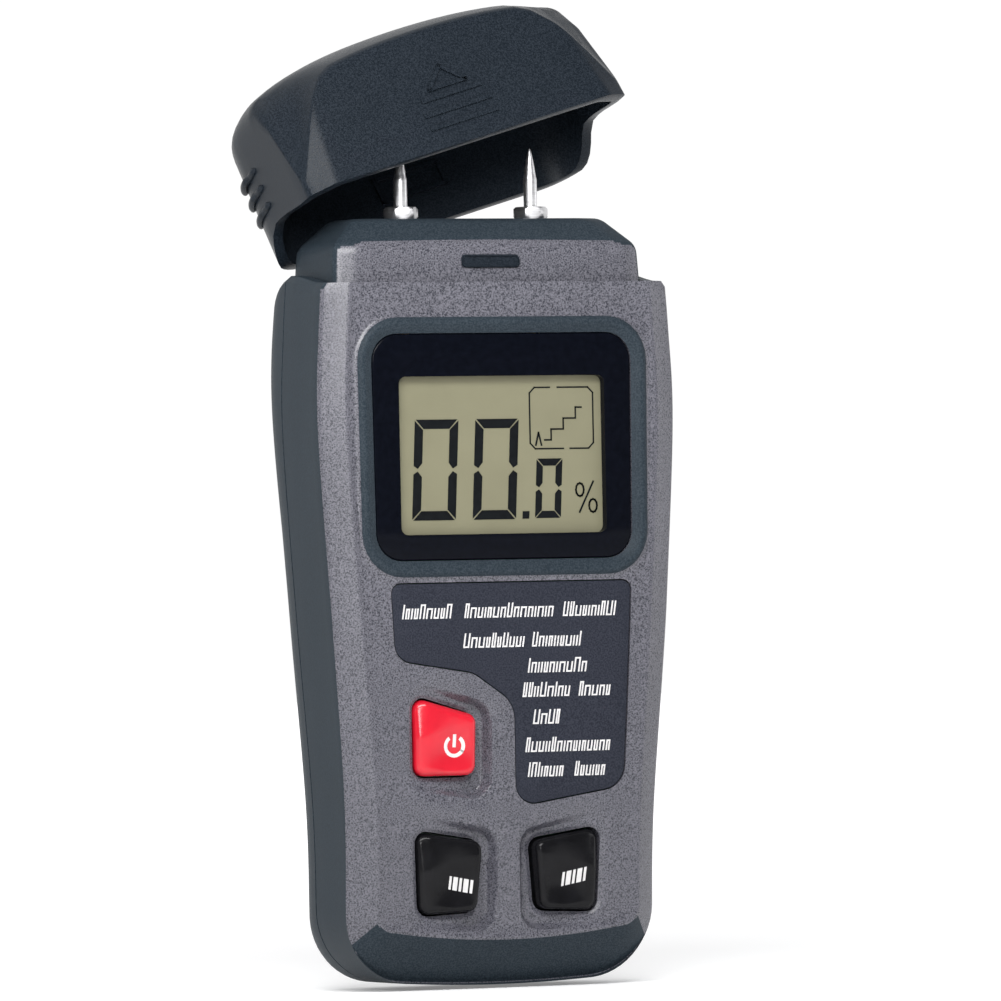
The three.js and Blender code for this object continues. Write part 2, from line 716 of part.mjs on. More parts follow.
add("front_shell", frontShell(), FINISH.casing);
add("rear_shell", rearShell(), FINISH.black);
add("probe_head", probeHead(), FINISH.head);
add("battery_door", batteryDoor(), FINISH.black);
add("display_lens", displayLens(), FINISH.lens);
add("lcd_glass", lcdGlass(), FINISH.lcd);
add("lcd_frame", lcdFrame(), FINISH.white);
add("zebra_strip_lower", zebraStrip(LCD_GLASS.bottom + 1.2), FINISH.rubber);
add("zebra_strip_upper", zebraStrip(LCD_GLASS.top - 3.2), FINISH.rubber);
add("label_plate", prismY(labelShape(), -30, 0).intersect(layer(0, 0.6)), FINISH.label);
add("main_board", mainBoard(), FINISH.board);
add("processor_blob", chipBlob(), FINISH.rubber);
add("amplifier_chip", amplifierChip(), FINISH.rubber);

for (const [name, button] of Object.entries(BUTTONS)) {
  add(`${name}_button`, buttonCap(button), name === "power" ? FINISH.red : FINISH.key);
  add(`${name}_switch`, switchBase(button.centre), FINISH.steel);
  add(`${name}_plunger`, switchPlunger(button.centre), FINISH.rubber);
}

for (const [name, side] of Object.entries(SIDES)) {
  add(`probe_pin_${name}`, probePin(side), FINISH.steel);
  add(`pin_nut_${name}`, pinNut(side), FINISH.steel);
  add(`pin_socket_${name}`, pinSocket(side), FINISH.brass);
  add(`probe_lead_${name}`, probeLead(side), FINISH.redWire);
  CASE_SCREWS.forEach(([x, z], i) =>
    add(`case_screw_${i ? "lower" : "upper"}_${name}`, caseScrew(side * x, z), FINISH.steel),
  );
  PCB_SCREWS.forEach(([x, z], i) =>
    add(`board_screw_${i ? "lower" : "upper"}_${name}`, boardScrew(side * x, z), FINISH.steel),
  );
}

add("battery_9v", battery(), FINISH.cell);
add("battery_snap", batterySnap(), FINISH.rubber);
add("battery_lead_red", batteryLead(-2.5), FINISH.redWire);
add("battery_lead_black", batteryLead(2.5), FINISH.rubber);

// The cap is modelled seated, then swung up about its hinge line to where it is held open.
const cap = add("protective_cap", protectiveCap(), FINISH.black);
cap.position.sub(CAP_HINGE_POINT).applyAxisAngle(CAP_HINGE_AXIS, CAP_OPEN_ANGLE).add(CAP_HINGE_POINT);
cap.quaternion.setFromAxisAngle(CAP_HINGE_AXIS, CAP_OPEN_ANGLE);

export default group;
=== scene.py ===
"""Pin moisture meter: detailed pieces, materials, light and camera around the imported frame.

Lengths are in millimetres until a mesh is made; +X is the display's right, +Y the back, +Z up.
"""
import json
import math
import random

import bmesh
import bpy
import numpy as np
from mathutils import Matrix, Vector
from mathutils.geometry import delaunay_2d_cdt


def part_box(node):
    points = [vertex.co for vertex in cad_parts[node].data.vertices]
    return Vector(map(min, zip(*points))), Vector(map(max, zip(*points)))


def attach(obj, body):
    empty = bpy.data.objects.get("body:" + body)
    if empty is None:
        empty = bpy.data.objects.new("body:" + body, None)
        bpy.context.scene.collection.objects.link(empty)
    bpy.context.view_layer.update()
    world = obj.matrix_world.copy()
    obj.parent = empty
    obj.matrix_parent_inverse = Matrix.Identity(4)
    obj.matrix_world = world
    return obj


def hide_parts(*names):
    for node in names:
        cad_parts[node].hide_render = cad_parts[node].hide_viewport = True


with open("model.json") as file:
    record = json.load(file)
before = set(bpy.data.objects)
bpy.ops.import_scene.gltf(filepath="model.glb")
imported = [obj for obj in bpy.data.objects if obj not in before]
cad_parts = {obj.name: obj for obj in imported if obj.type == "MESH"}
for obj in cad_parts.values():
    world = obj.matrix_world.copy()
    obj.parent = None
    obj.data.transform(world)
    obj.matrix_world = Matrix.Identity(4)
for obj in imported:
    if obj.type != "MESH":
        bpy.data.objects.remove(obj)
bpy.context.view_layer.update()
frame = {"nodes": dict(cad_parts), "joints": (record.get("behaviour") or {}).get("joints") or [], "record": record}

MM = 0.001


def span(node):
    """A CAD node's lowest and highest corner, in millimetres."""
    low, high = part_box(node)
    return low / MM, high / MM


# ------------------------------------------------------------------ camera
CAMERA_PLACE = Vector((-698.6, -1511.3, 63.7)) * MM
LOOK = Vector((0.42260, 0.90627, 0.00867)).normalized()
ROLL = math.radians(-1.1265)
LENS_MM = 368.9

camera_data = bpy.data.cameras.new("camera")
camera_data.lens = LENS_MM
camera_data.sensor_width = 36.0
camera_data.clip_start = 0.01
camera = bpy.data.objects.new("camera", camera_data)
level_right = LOOK.cross(Vector((0, 0, 1))).normalized()
level_up = level_right.cross(LOOK)
image_right = math.cos(ROLL) * level_right + math.sin(ROLL) * level_up
image_up = -math.sin(ROLL) * level_right + math.cos(ROLL) * level_up
turn = Matrix((image_right, image_up, -LOOK)).transposed()
camera.matrix_world = Matrix.Translation(CAMERA_PLACE) @ turn.to_4x4()
bpy.context.scene.collection.objects.link(camera)
bpy.context.scene.camera = camera

# ------------------------------------------------------------------ driving dimensions
DOOR_LOW, DOOR_HIGH = span("battery_door")
LENS_PROUD = 0.05
FRONT_Y = span("display_lens")[0].y + LENS_PROUD
BACK_Y = DOOR_HIGH.y
GAP = 0.3
PARTING_Y = span("front_shell")[1].y + GAP / 2
SEAM_FRONT_Z, SEAM_PEAK_Z, SEAM_REAR_Z = 113.3, 114.9, 109.8
SEAM_FRONT_Y, SEAM_REAR_Y = -12.0, 9.0
SIDE_STATIONS = (  # height, half width
    (12, 27.6), (30, 27.9), (60, 30.1), (90, 31.9), (106, 31.4), (118, 30.5),
)
CHAMFER_WIDTH = 4.1  # seen from the front
SIDE_DRAFT = 0.3  # how far the front edge of a side stands in from its widest line
CORNER_RADIUS = 12.0
BASE_BEVEL_Z = 7.5
BASE_ROUND = 7.0
HEAD_TOP_Z = span("probe_head")[1].z
HEAD_BEVEL_Z = 119.2


def catmull_rom(points, per_span=16):
    """The uniform Catmull-Rom curve that the CAD source uses, as dense points."""
    out = []
    last = len(points) - 1
    for i in range(last):
        p0, p1, p2, p3 = (points[max(0, min(last, i + k))] for k in (-1, 0, 1, 2))
        for step in range(per_span):
            t = step / per_span
            out.append(tuple(
                0.5 * (2 * b + (c - a) * t + (2 * a - 5 * b + 4 * c - d) * t * t
                       + (3 * b - a - 3 * c + d) * t ** 3)
                for a, b, c, d in zip(p0, p1, p2, p3)
            ))
    out.append(tuple(points[-1]))
    return np.array(out)


SIDE_CURVE = catmull_rom(SIDE_STATIONS)


def half_width(z):
    return np.interp(z, SIDE_CURVE[:, 0], SIDE_CURVE[:, 1])


def blend_between(a, b, t):
    return a + (b - a) * np.clip(t, 0, 1)


def smooth(t):
    t = np.clip(t, 0, 1)
    return t * t * (3 - 2 * t)


def face_y(z):
    """Plain front face: flat above the waist, falling back towards the base."""
    return FRONT_Y + 1.5 * (np.clip(60 - np.asarray(z, float), 0, None) / 50) ** 2


def chamfer_depth(z):
    return blend_between(3.2, 2.0, (z - 15) / 45)


def rear_radius(z):
    return blend_between(12.0, 9.0, (z - 60) / 40)


def seam_z(y):
    """Shoulder line: level in front, up to the parting line, down to the back, with soft turns."""
    up = smooth((y - SEAM_FRONT_Y) / (PARTING_Y - SEAM_FRONT_Y)) * (SEAM_PEAK_Z - SEAM_FRONT_Z)
    down = smooth((y - PARTING_Y - 1.0) / (SEAM_REAR_Y - PARTING_Y)) * (SEAM_PEAK_Z - SEAM_REAR_Z)
    return SEAM_FRONT_Z + up - down


# ------------------------------------------------------------------ outlines
def rounded(corners, radius, grow=0.0, steps=7, spacing=1.0):
    """Closed anticlockwise outline with round corners, moved outward by grow.

    Outlines of the same corners have the same number of points, whatever grow is.
    """
    pts = [Vector(c) for c in corners]
    n = len(pts)
    radii = radius if isinstance(radius, tuple) else [radius] * n
    ways = [(pts[(i + 1) % n] - pts[i]).normalized() for i in range(n)]
    arcs = []
    for i in range(n):
        a, b = ways[i - 1], ways[i]
        na, nb = Vector((a.y, -a.x)), Vector((b.y, -b.x))
        bisector = (na + nb).normalized()
        moved = pts[i] + bisector * (grow / max(0.3, bisector.dot(nb)))
        bend = -a.angle_signed(b)
        size = max(0.05, radii[i] + (grow if bend > 0 else -grow))
        start = moved - a * (size * math.tan(abs(bend) / 2))
        centre = start + Vector((-a.y, a.x)) * (size if bend > 0 else -size)
        arm = start - centre
        arc = []
        for k in range(steps + 1):
            angle = bend * k / steps
            c, s = math.cos(angle), math.sin(angle)
            arc.append(centre + Vector((arm.x * c - arm.y * s, arm.x * s + arm.y * c)))
        arcs.append(arc)
    out = []
    for i in range(n):
        out += arcs[i]
        following = arcs[(i + 1) % n][0]
        cuts = max(1, round((pts[(i + 1) % n] - pts[i]).length / spacing))
        out += [arcs[i][-1].lerp(following, k / cuts) for k in range(1, cuts)]
    return out


def ellipse(x, z, half_x, half_z, count):
    angles = np.linspace(0, 2 * math.pi, count, endpoint=False)
    return [Vector((x + half_x * math.cos(a), z + half_z * math.sin(a))) for a in angles]


def plane(points):
    """Points as the rows of one array."""
    return np.array([tuple(p) for p in points])


def stacked(x, y, z):
    """Points in space from arrays of their coordinates."""
    return [Vector(p) for p in np.stack([x, y, z], 1)]


def upright(points, y):
    """The points of a flat outline, stood up at one depth."""
    return [Vector((p[0], y, p[1])) for p in points]


def flat_at(y):
    """For Shape.panel: the upright plane at one depth."""
    return lambda flat: upright(flat, y)


def shifted(row, y=0.0, z=0.0):
    return [p + Vector((0, y, z)) for p in row]


def depth_inside(points, loop):
    """Distance of each point inside a closed outline; negative outside it."""
    p = np.asarray(points, float).reshape(-1, 2)
    a = plane(loop)
    b = np.roll(a, -1, axis=0)
    edge = b - a
    length2 = np.maximum((edge ** 2).sum(1), 1e-12)
    best = np.full(len(p), 1e9)
    inside = np.zeros(len(p), bool)
    for i in range(len(a)):
        rel = p - a[i]
        t = np.clip(rel @ edge[i] / length2[i], 0, 1)
        best = np.minimum(best, np.hypot(*(rel - t[:, None] * edge[i]).T))
        crosses = (a[i, 1] > p[:, 1]) != (b[i, 1] > p[:, 1])
        with np.errstate(divide="ignore", invalid="ignore"):
            at = a[i, 0] + (p[:, 1] - a[i, 1]) * edge[i, 0] / edge[i, 1]
        inside ^= crosses & (p[:, 0] < at)
    return np.where(inside, best, -best)


# ------------------------------------------------------------------ mesh making
def quadratic(a, b, c, steps):
    """Points on the soft corner from a to c that b pulls on, both ends included."""
    return [a.lerp(b, t).lerp(b.lerp(c, t), t) for t in (k / steps for k in range(steps + 1))]


WELD = 1e-3  # points closer than this become one
EDGE_CLEAR = 0.3  # shares of the spacing that grid points keep from outlines
POINT_CLEAR = 0.45  # and from the points on them


class Shape:
    """Collects strips and panels in millimetres and makes one mesh object of them."""

    def __init__(self):
        self.bm = bmesh.new()

    def row(self, points):
        return [self.bm.verts.new(Vector(p)) for p in points]

    def strip(self, a, b, closed=False, material=0):
        """Quads between two rows of as many points."""
        count = len(a)
        for i in range(count if closed else count - 1):
            j = (i + 1) % count
            self.face((a[i], a[j], b[j], b[i]), material)

    def face(self, corners, material=0):
        unique = []
        for corner in corners:
            if corner not in unique:
                unique.append(corner)
        if len(unique) < 3:
            return
        made = self.bm.faces.new(unique)
        made.material_index = material

    def strips(self, rows, closed=False):
        for a, b in zip(rows, rows[1:]):
            self.strip(a, b, closed)

    def rows(self, rows, closed=False):
        """Points and strips from lists of places; returns the rows made."""
        made = [self.row(r) for r in rows]
        self.strips(made, closed)
        return made

    def panel(self, outline, place, spacing, holes=(), rings=(), fine=(), bare=(), shade_outline=None):
        """A surface over a flat outline with holes; place gives each (u, v) its point in space.

        rings are outlines that the mesh follows; fine lists (outline, spacing) for denser stretches;
        bare outlines get no points but those of the rings; faces inside shade_outline take
        the second material, as painted shade.
        """
        loops = [list(loop) for loop in (outline, *holes, *rings)]
        coords = [Vector(p) for loop in loops for p in loop]
        edges = []
        at = 0
        for loop in loops:
            edges += [(at + i, at + (i + 1) % len(loop)) for i in range(len(loop))]
            at += len(loop)
        fixed = plane(coords)
        low, high = fixed.min(0), fixed.max(0)
        grids = [(outline, spacing), *fine]
        for region, step in grids:
            xs = np.arange(low[0], high[0], step)
            ys = np.arange(low[1], high[1], step)
            grid = np.array([(x + step / 2 * (k % 2), y) for k, y in enumerate(ys) for x in xs])
            grid = grid[depth_inside(grid, region) > EDGE_CLEAR * step]
            for other, other_step in grids[1:]:
                if other is not region:
                    grid = grid[depth_inside(grid, other) < -EDGE_CLEAR * other_step]
            for zone in bare:
                grid = grid[depth_inside(grid, zone) < 0]
            if not len(grid):
                continue
            clear = np.full(len(grid), True)
            for c in fixed:
                clear &= np.hypot(*(grid - c).T) > POINT_CLEAR * min(step, spacing)
            coords += [Vector(p) for p in grid[clear]]
        verts, _, faces, *_ = delaunay_2d_cdt(coords, edges, [], 0, 1e-5)
        flat = plane(verts)
        middles = np.array([flat[list(f)].mean(0) for f in faces])
        keep = depth_inside(middles, outline) > 0
        for hole in holes:
            keep &= depth_inside(middles, hole) < 0
        second = depth_inside(middles, shade_outline) > 0 if shade_outline else np.zeros(len(middles), bool)
        made = [self.bm.verts.new(p) for p in place(flat)]
        for f, wanted, other in zip(faces, keep, second):
            if wanted:
                self.face([made[i] for i in f], int(other))

    def finish(self, name, materials, body, slot, replaces=(), sharp=38):
        """Weld the piece, bring it to metres and put it in the scene; sharp is in degrees."""
        bm = self.bm
        bmesh.ops.remove_doubles(bm, verts=bm.verts, dist=WELD)
        loose = [v for v in bm.verts if not v.link_faces]
        bmesh.ops.delete(bm, geom=loose, context="VERTS")
        bmesh.ops.recalc_face_normals(bm, faces=bm.faces)
        bmesh.ops.scale(bm, vec=(MM, MM, MM), verts=bm.verts)
        mesh = bpy.data.meshes.new(name)
        bm.to_mesh(mesh)
        bm.free()
        obj = bpy.data.objects.new(name, mesh)
        bpy.context.scene.collection.objects.link(obj)
        for material in materials if isinstance(materials, list) else [materials]:
            mesh.materials.append(material)
        mesh.shade_smooth()
        mesh.set_sharp_from_angle(angle=math.radians(sharp))
        if replaces:
            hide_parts(*replaces)
        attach(obj, body)


def mirrored(half):
    """A row from its right half, given from the outer end to the middle line x = 0."""
    left = [Vector((-p.x, p.y, p.z)) for p in half]
    return left[:-1] + list(reversed(half))


def level_ring(x, y, z, radius, sides, turn=0.0):
    """A level ring about the upright line at (x, y); radius gives the distance at each angle."""
    out = []
    for k in range(sides):
        a = 2 * math.pi * k / sides
        out.append((x + radius(a) * math.cos(a + turn), y + radius(a) * math.sin(a + turn), z))
    return out


# ------------------------------------------------------------------ materials
def feed(tree, node, **values):
    """Set a node's inputs, or link them where the value is another node's output."""
    for name, value in values.items():
        socket = node.inputs[name.replace("_", " ")]
        if isinstance(value, bpy.types.NodeSocket):
            tree.links.new(value, socket)
        else:
            socket.default_value = value
    return node


def add(tree, kind, **values):
    return feed(tree, tree.nodes.new("ShaderNode" + kind), **values)


def node_material(name):
    made = bpy.data.materials.new(name)
    made.use_nodes = True
    tree = made.node_tree
    return made, tree, tree.nodes["Principled BSDF"], add(tree, "TexCoord").outputs["Object"]


def noise(tree, coords, scale, detail=2.0, stretch=None):
    if stretch:
        coords = add(tree, "Mapping", Scale=stretch, Vector=coords).outputs["Vector"]
    return add(tree, "TexNoise", Scale=scale, Detail=detail, Vector=coords).outputs["Fac"]


def ramp(tree, value, stops):
    made = add(tree, "ValToRGB", Fac=value)
    elements = made.color_ramp.elements
    for i, (at, color) in enumerate(stops):
        element = elements[i] if i < 2 else elements.new(at)
        element.position = at
        element.color = (*color, 1.0)
    return made.outputs["Color"]


def bump(tree, shader, height, distance_mm):
    made = add(tree, "Bump", Distance=distance_mm * MM, Strength=1.0, Height=height)
    feed(tree, shader, Normal=made.outputs["Normal"])


def grained_plastic(name, dark, light, roughness, grain_mm=0.25, depth_mm=0.02, specular=0.5):
    """Spark-eroded plastic: a fine two-tone grain with bump, over slow shifts of tone."""
    made, tree, shader, coords = node_material(name)
    grain = noise(tree, coords, 1 / (grain_mm * MM), 1.5)
    cloud = noise(tree, coords, 60, 2.0)
    mix = tree.nodes.new("ShaderNodeMix")
    mix.data_type = "RGBA"
    mix.blend_type = "MULTIPLY"
    tones = ramp(tree, grain, ((0.38, dark), (0.64, light)))
    shifts = ramp(tree, cloud, ((0.3, (0.8, 0.8, 0.8)), (0.7, (1, 1, 1))))
    feed(tree, mix, Factor=0.35, A=tones, B=shifts)
    rough = ramp(tree, grain, ((0.35, (roughness - 0.08,) * 3), (0.65, (roughness + 0.08,) * 3)))
    feed(tree, shader, Base_Color=mix.outputs["Result"], Roughness=rough,
         Specular_IOR_Level=specular, IOR=1.5 if specular >= 0.5 else 1.25)
    bump(tree, shader, grain, depth_mm)
    return made


def plain(name, tone, spread, roughness, metallic=0.0, scale=900, depth_mm=0.004, stretch=None,
          specular=0.5):
    """A material with slight variation of tone and roughness, for moulded, printed and metal pieces."""
    made, tree, shader, coords = node_material(name)
    pattern = noise(tree, coords, scale, 3.0, stretch)
    tones = [tuple(min(1.0, c * (1 + s)) for c in tone) for s in (-spread, spread)]
    rough = ramp(tree, pattern, ((0.3, (roughness * 0.85,) * 3), (0.7, (min(1, roughness * 1.15),) * 3)))
    feed(tree, shader, Base_Color=ramp(tree, pattern, tuple(zip((0.3, 0.7), tones))), Roughness=rough,
         Metallic=metallic, Specular_IOR_Level=specular)
    bump(tree, shader, pattern, depth_mm)
    return made


CASE_GREY = grained_plastic("case_grey", (0.035, 0.036, 0.046), (0.12, 0.118, 0.14), 0.34)
# The rear shell and the door are really black. The same material is painted shade on the front shell's sides and
# ends, the head's sides and the rim round the display.
CASE_BLACK_AND_SHADE = grained_plastic("case_black_and_shade", (0.014, 0.021, 0.028), (0.03, 0.04, 0.05), 0.5, specular=0.3)
HEAD_GREY = grained_plastic("head_grey", (0.04, 0.041, 0.052), (0.13, 0.128, 0.15), 0.34)
CAP_BLACK = grained_plastic("cap_black", (0.006, 0.009, 0.013), (0.015, 0.02, 0.027), 0.36, specular=0.4)
LENS_BLACK = plain("lens_black", (0.002, 0.0026, 0.005), 0.2, 0.12, depth_mm=0.0006, specular=0.06)
LCD_FACE = plain("lcd_face", (0.165, 0.158, 0.103), 0.06, 0.4, scale=90, depth_mm=0.001, specular=0.2)
LCD_INK = plain("lcd_ink", (0.003, 0.004, 0.005), 0.2, 0.5, specular=0.1)
FILM = grained_plastic("label_film", (0.016, 0.018, 0.026), (0.03, 0.033, 0.045), 0.5, depth_mm=0.004,
                       specular=0.2)
PRINT = plain("white_print", (0.56, 0.55, 0.55), 0.06, 0.55)
RED = plain("red_key", (0.50, 0.007, 0.02), 0.06, 0.2, scale=300, depth_mm=0.001)
BLACK_KEY = plain("black_key", (0.005, 0.005, 0.006), 0.25, 0.2, scale=300, depth_mm=0.001, specular=0.15)
STEEL = plain("bright_steel", (0.68, 0.68, 0.69), 0.1, 0.34, 1.0, 500, 0.004, stretch=(1, 1, 12))

SLOT_MATERIALS = {
    "casing_grey": CASE_GREY, "casing_black": CASE_BLACK_AND_SHADE, "head_grey": HEAD_GREY, "cap_black": CAP_BLACK,
    "lens_black": LENS_BLACK, "lcd": LCD_FACE, "label": FILM, "button_red": RED,
    "button_black": BLACK_KEY, "steel": STEEL,
}
for name, *look in (
    ("screw_steel", (0.2, 0.2, 0.21), 0.2, 0.35, 1.0, 1200),
    ("brass", (0.62, 0.44, 0.16), 0.12, 0.3, 1.0, 800),
    ("board_green", (0.012, 0.09, 0.035), 0.35, 0.35, 0.0, 260),
    ("black_rubber", (0.018, 0.018, 0.019), 0.3, 0.75),
    ("chip_black", (0.012, 0.012, 0.013), 0.3, 0.5),
    ("white_plastic", (0.7, 0.7, 0.67), 0.05, 0.45),
    ("battery_jacket", (0.022, 0.03, 0.05), 0.3, 0.3, 0.0, 120),
    ("wire_red", (0.42, 0.012, 0.012), 0.15, 0.45),
    ("wire_black", (0.014, 0.014, 0.014), 0.2, 0.5),
):
    SLOT_MATERIALS[name] = plain(name, *look)
for part in frame["record"]["subparts"]:
    held = frame["nodes"][part["node"]].data.materials
    held.clear()
    held.append(SLOT_MATERIALS[part["material_slot"]])

# ------------------------------------------------------------------ outlines on the front
LENS_CORNERS = ((-22.7, 68.5), (22.7, 68.5), (23.1, 105.05), (-23.1, 105.05))
LENS_RADIUS = 4.5
LCD_CORNERS = ((-18.3, 72.6), (18.3, 72.6), (18.3, 98.2), (-18.3, 98.2))
LABEL_CORNERS = (
    (-20.3, 64.9), (-19.7, 52.6), (-6, 50.4), (1.2, 45.4), (1.4, 28.6), (20.6, 31.6), (22.4, 64.9),
)
LABEL_RADII = (1.6, 3.2, 5.0, 5.0, 3.2, 4.0, 1.6)
KEYS = {
    "power": ((-16.5, 33.9), (-5.9, 33.9), (-5.7, 43.6), (-16.6, 46.8)),
    "mode": ((-15.7, 11.6), (-5.6, 12.0), (-4.6, 23.2), (-16.3, 25.1)),
}
SCOOPS = {
    "power": ((-18.4, 31.6), (-2.9, 29.6), (-2.9, 45.4), (-18.4, 50.0)),
    "mode": ((-18.2, 9.4), (-2.2, 8.4), (-1.8, 25.0), (-18.2, 28.6)),
}
for outlines in (KEYS, SCOOPS):
    outlines["hold"] = tuple((-x, z) for x, z in (outlines["mode"][i] for i in (1, 0, 3, 2)))
KEY_RADIUS = 1.7
KEY_RIM, KEY_RIM_WIDTH = 0.35, 0.6  # the face drops by the one over the other round a key
SCOOP_RADIUS = 3.4
SCOOP_DEPTH = 2.0
SCOOP_WALL = 1.1
# the rim round the display is painted shade: its faces take the dark material
BEZEL_SHADE = 2.6  # width of the dark rim round the display
BEZEL_PROFILE = (  # outward from the lens opening: distance, rise over the face
    (0.0, 0.0), (0.25, 0.15), (1.3, 0.72), (1.6, 0.8), (1.9, 0.8), (2.2, 0.7), (2.9, 0.08), (3.3, 0.0),
)


def lens_outline(grow=0.0):
    return rounded(LENS_CORNERS, LENS_RADIUS, grow)


def label_outline(grow):
    return rounded(LABEL_CORNERS, LABEL_RADII, grow)


def key_outline(name, grow):
    return rounded(KEYS[name], KEY_RADIUS, grow, spacing=0.5)


def front_features(x, z):
    """How far the front stands in (+Y) from the plain face at each point."""
    points = np.stack([x, z], 1)
    away = -depth_inside(points, lens_outline())
    distances, rises = zip(*BEZEL_PROFILE)
    depth = -np.interp(away, distances, rises, left=0.0, right=0.0)
    for name, corners in SCOOPS.items():
        inside = depth_inside(points, rounded(corners, SCOOP_RADIUS))
        left, right = (end(c[0] for c in corners) for end in (min, max))
        along = (x - left) / (right - left)
        if name == "hold":
            along = 1 - along
        deepening = np.clip(along * 1.15, 0, 1) ** 1.2  # towards the middle of the case
        depth = depth + smooth(inside / SCOOP_WALL) * SCOOP_DEPTH * deepening
        rim = -depth_inside(points, rounded(KEYS[name], KEY_RADIUS, KEY_RIM))
        depth = depth + KEY_RIM * (1 - smooth(rim / KEY_RIM_WIDTH)) * (rim > -0.5)
    return depth


def front_surface(flat):
    x, z = flat[:, 0], flat[:, 1]
    return stacked(x, face_y(z) + front_features(x, z), z)


# ------------------------------------------------------------------ casing
SIDE_STEPS, CORNER_STEPS, BASE_STEPS = 56, 14, 16


def rail(inset, base_z, radius, depth_at, base_depth=None, top_round=0.0, lift=0.5):
    """Right half of a line round the case, from the shoulder down the side and in to the middle.

    inset is how far it runs inside the widest outline at each height; depth_at and base_depth give
    Y there and along the base.
    """
    base_depth = base_depth or depth_at
    corner_z = base_z + lift + radius
    corner_x = half_width(corner_z) - inset(corner_z)
    top = seam_z(depth_at(SEAM_FRONT_Z))
    out = []
    for i in range(SIDE_STEPS + 1):
        t = i / SIDE_STEPS
        z = top + (corner_z - top) * (t ** 1.15)
        x = half_width(z) - inset(z)
        if top_round and z > top - top_round:
            into = z - (top - top_round)
            x -= top_round - math.sqrt(max(0, top_round ** 2 - into ** 2))
        out.append(Vector((x, depth_at(z), z)))
    centre = Vector((corner_x - radius, corner_z))
    for i in range(1, CORNER_STEPS + 1):
        angle = math.pi / 2 * i / CORNER_STEPS
        z = centre.y - radius * math.sin(angle)
        y = blend_between(depth_at(z), base_depth(z), smooth(i / CORNER_STEPS))
        out.append(Vector((centre.x + radius * math.cos(angle), y, z)))
    for i in range(1, BASE_STEPS + 1):
        x = centre.x * (1 - i / BASE_STEPS)
        z = base_z + lift * (x / centre.x) ** 2
        out.append(Vector((x, base_depth(z), z)))
    return out


def soft_profile(rails, softness, steps=4):
    """Rows across a set of rails: straight between them, rounded at each inner one."""
    rows = [rails[0]]
    for i in range(1, len(rails) - 1):
        before, here, after = rails[i - 1], rails[i], rails[i + 1]
        columns = []
        for a, b, c in zip(before, here, after):
            start = b + (a - b) * min(0.45, softness[i - 1] / max(1e-6, (a - b).length))
            end = b + (c - b) * min(0.45, softness[i - 1] / max(1e-6, (c - b).length))
            columns.append(quadratic(start, b, end, steps))
        rows += [[column[k] for column in columns] for k in range(steps + 1)]
    rows.append(rails[-1])
    return rows


def face_rail(extra):
    return rail(
        lambda z: CHAMFER_WIDTH + SIDE_DRAFT + extra, BASE_BEVEL_Z + extra, 3.0,
        lambda z: float(face_y(z)), lift=1.6,
    )


def chamfer_rail():
    return rail(
        lambda z: SIDE_DRAFT, 0.1, CORNER_RADIUS - 0.6, lambda z: float(face_y(z) + chamfer_depth(z)),
        lambda z: -7.2, top_round=0.6,
    )


def side_rail(y, top_round):
    inset = SIDE_DRAFT * (1 - smooth((y + 12) / 13))
    return rail(lambda z: inset, 0.0, CORNER_RADIUS, lambda z: y, top_round=top_round)


def inward(row, distance, along_y=0.0):
    """A row moved in towards the middle of the case."""
    out = []
    for i, p in enumerate(row):
        q = row[max(0, i - 1)]
        r = row[min(len(row) - 1, i + 1)]
        way = Vector((r.x - q.x, 0, r.z - q.z)).normalized()
        out.append(p + Vector((way.z, 0, -way.x)) * distance + Vector((0, along_y, 0)))
    return out


LAST_CHAMFER_STRIP = 8  # strips up to this one are the face's edge and the chamfer
HEAD_HALF, HEAD_FACE_HALF, HEAD_FRONT_Y = 27.9, 24.3, -11.5
LEDGE_FACE_HALF = 24.4
NECK_BACK_Y = 9.9
NECK_STEP = 3  # how far the ledges go down along the head
LENS_POCKET, LABEL_POCKET, KEY_POCKET, BAY_POCKET = 1.4, 0.7, 3.0, 2.2  # depths
SCREW_HOLE_RADIUS = 2.5


def paint_shade_on_ends(shape, beyond):
    """Painted shade: give what faces up or down the second, dark material, where beyond is true of its height."""
    shape.bm.normal_update()
    for f in shape.bm.faces:
        if abs(f.normal.z) > 0.4 and beyond(f.calc_center_median().z):
            f.material_index = 1


def closed_over_top(row, cuts):
    """A mirrored row as a flat outline, closed by a level line; and that line with its ends."""
    outline = [Vector((p.x, p.z)) for p in row]
    end_x, top_z = outline[-1].x, outline[0].y
    outline += [Vector((end_x * (1 - 2 * k / cuts), top_z)) for k in range(1, cuts)]
    return outline, outline[len(row) - 1:] + [outline[0]]


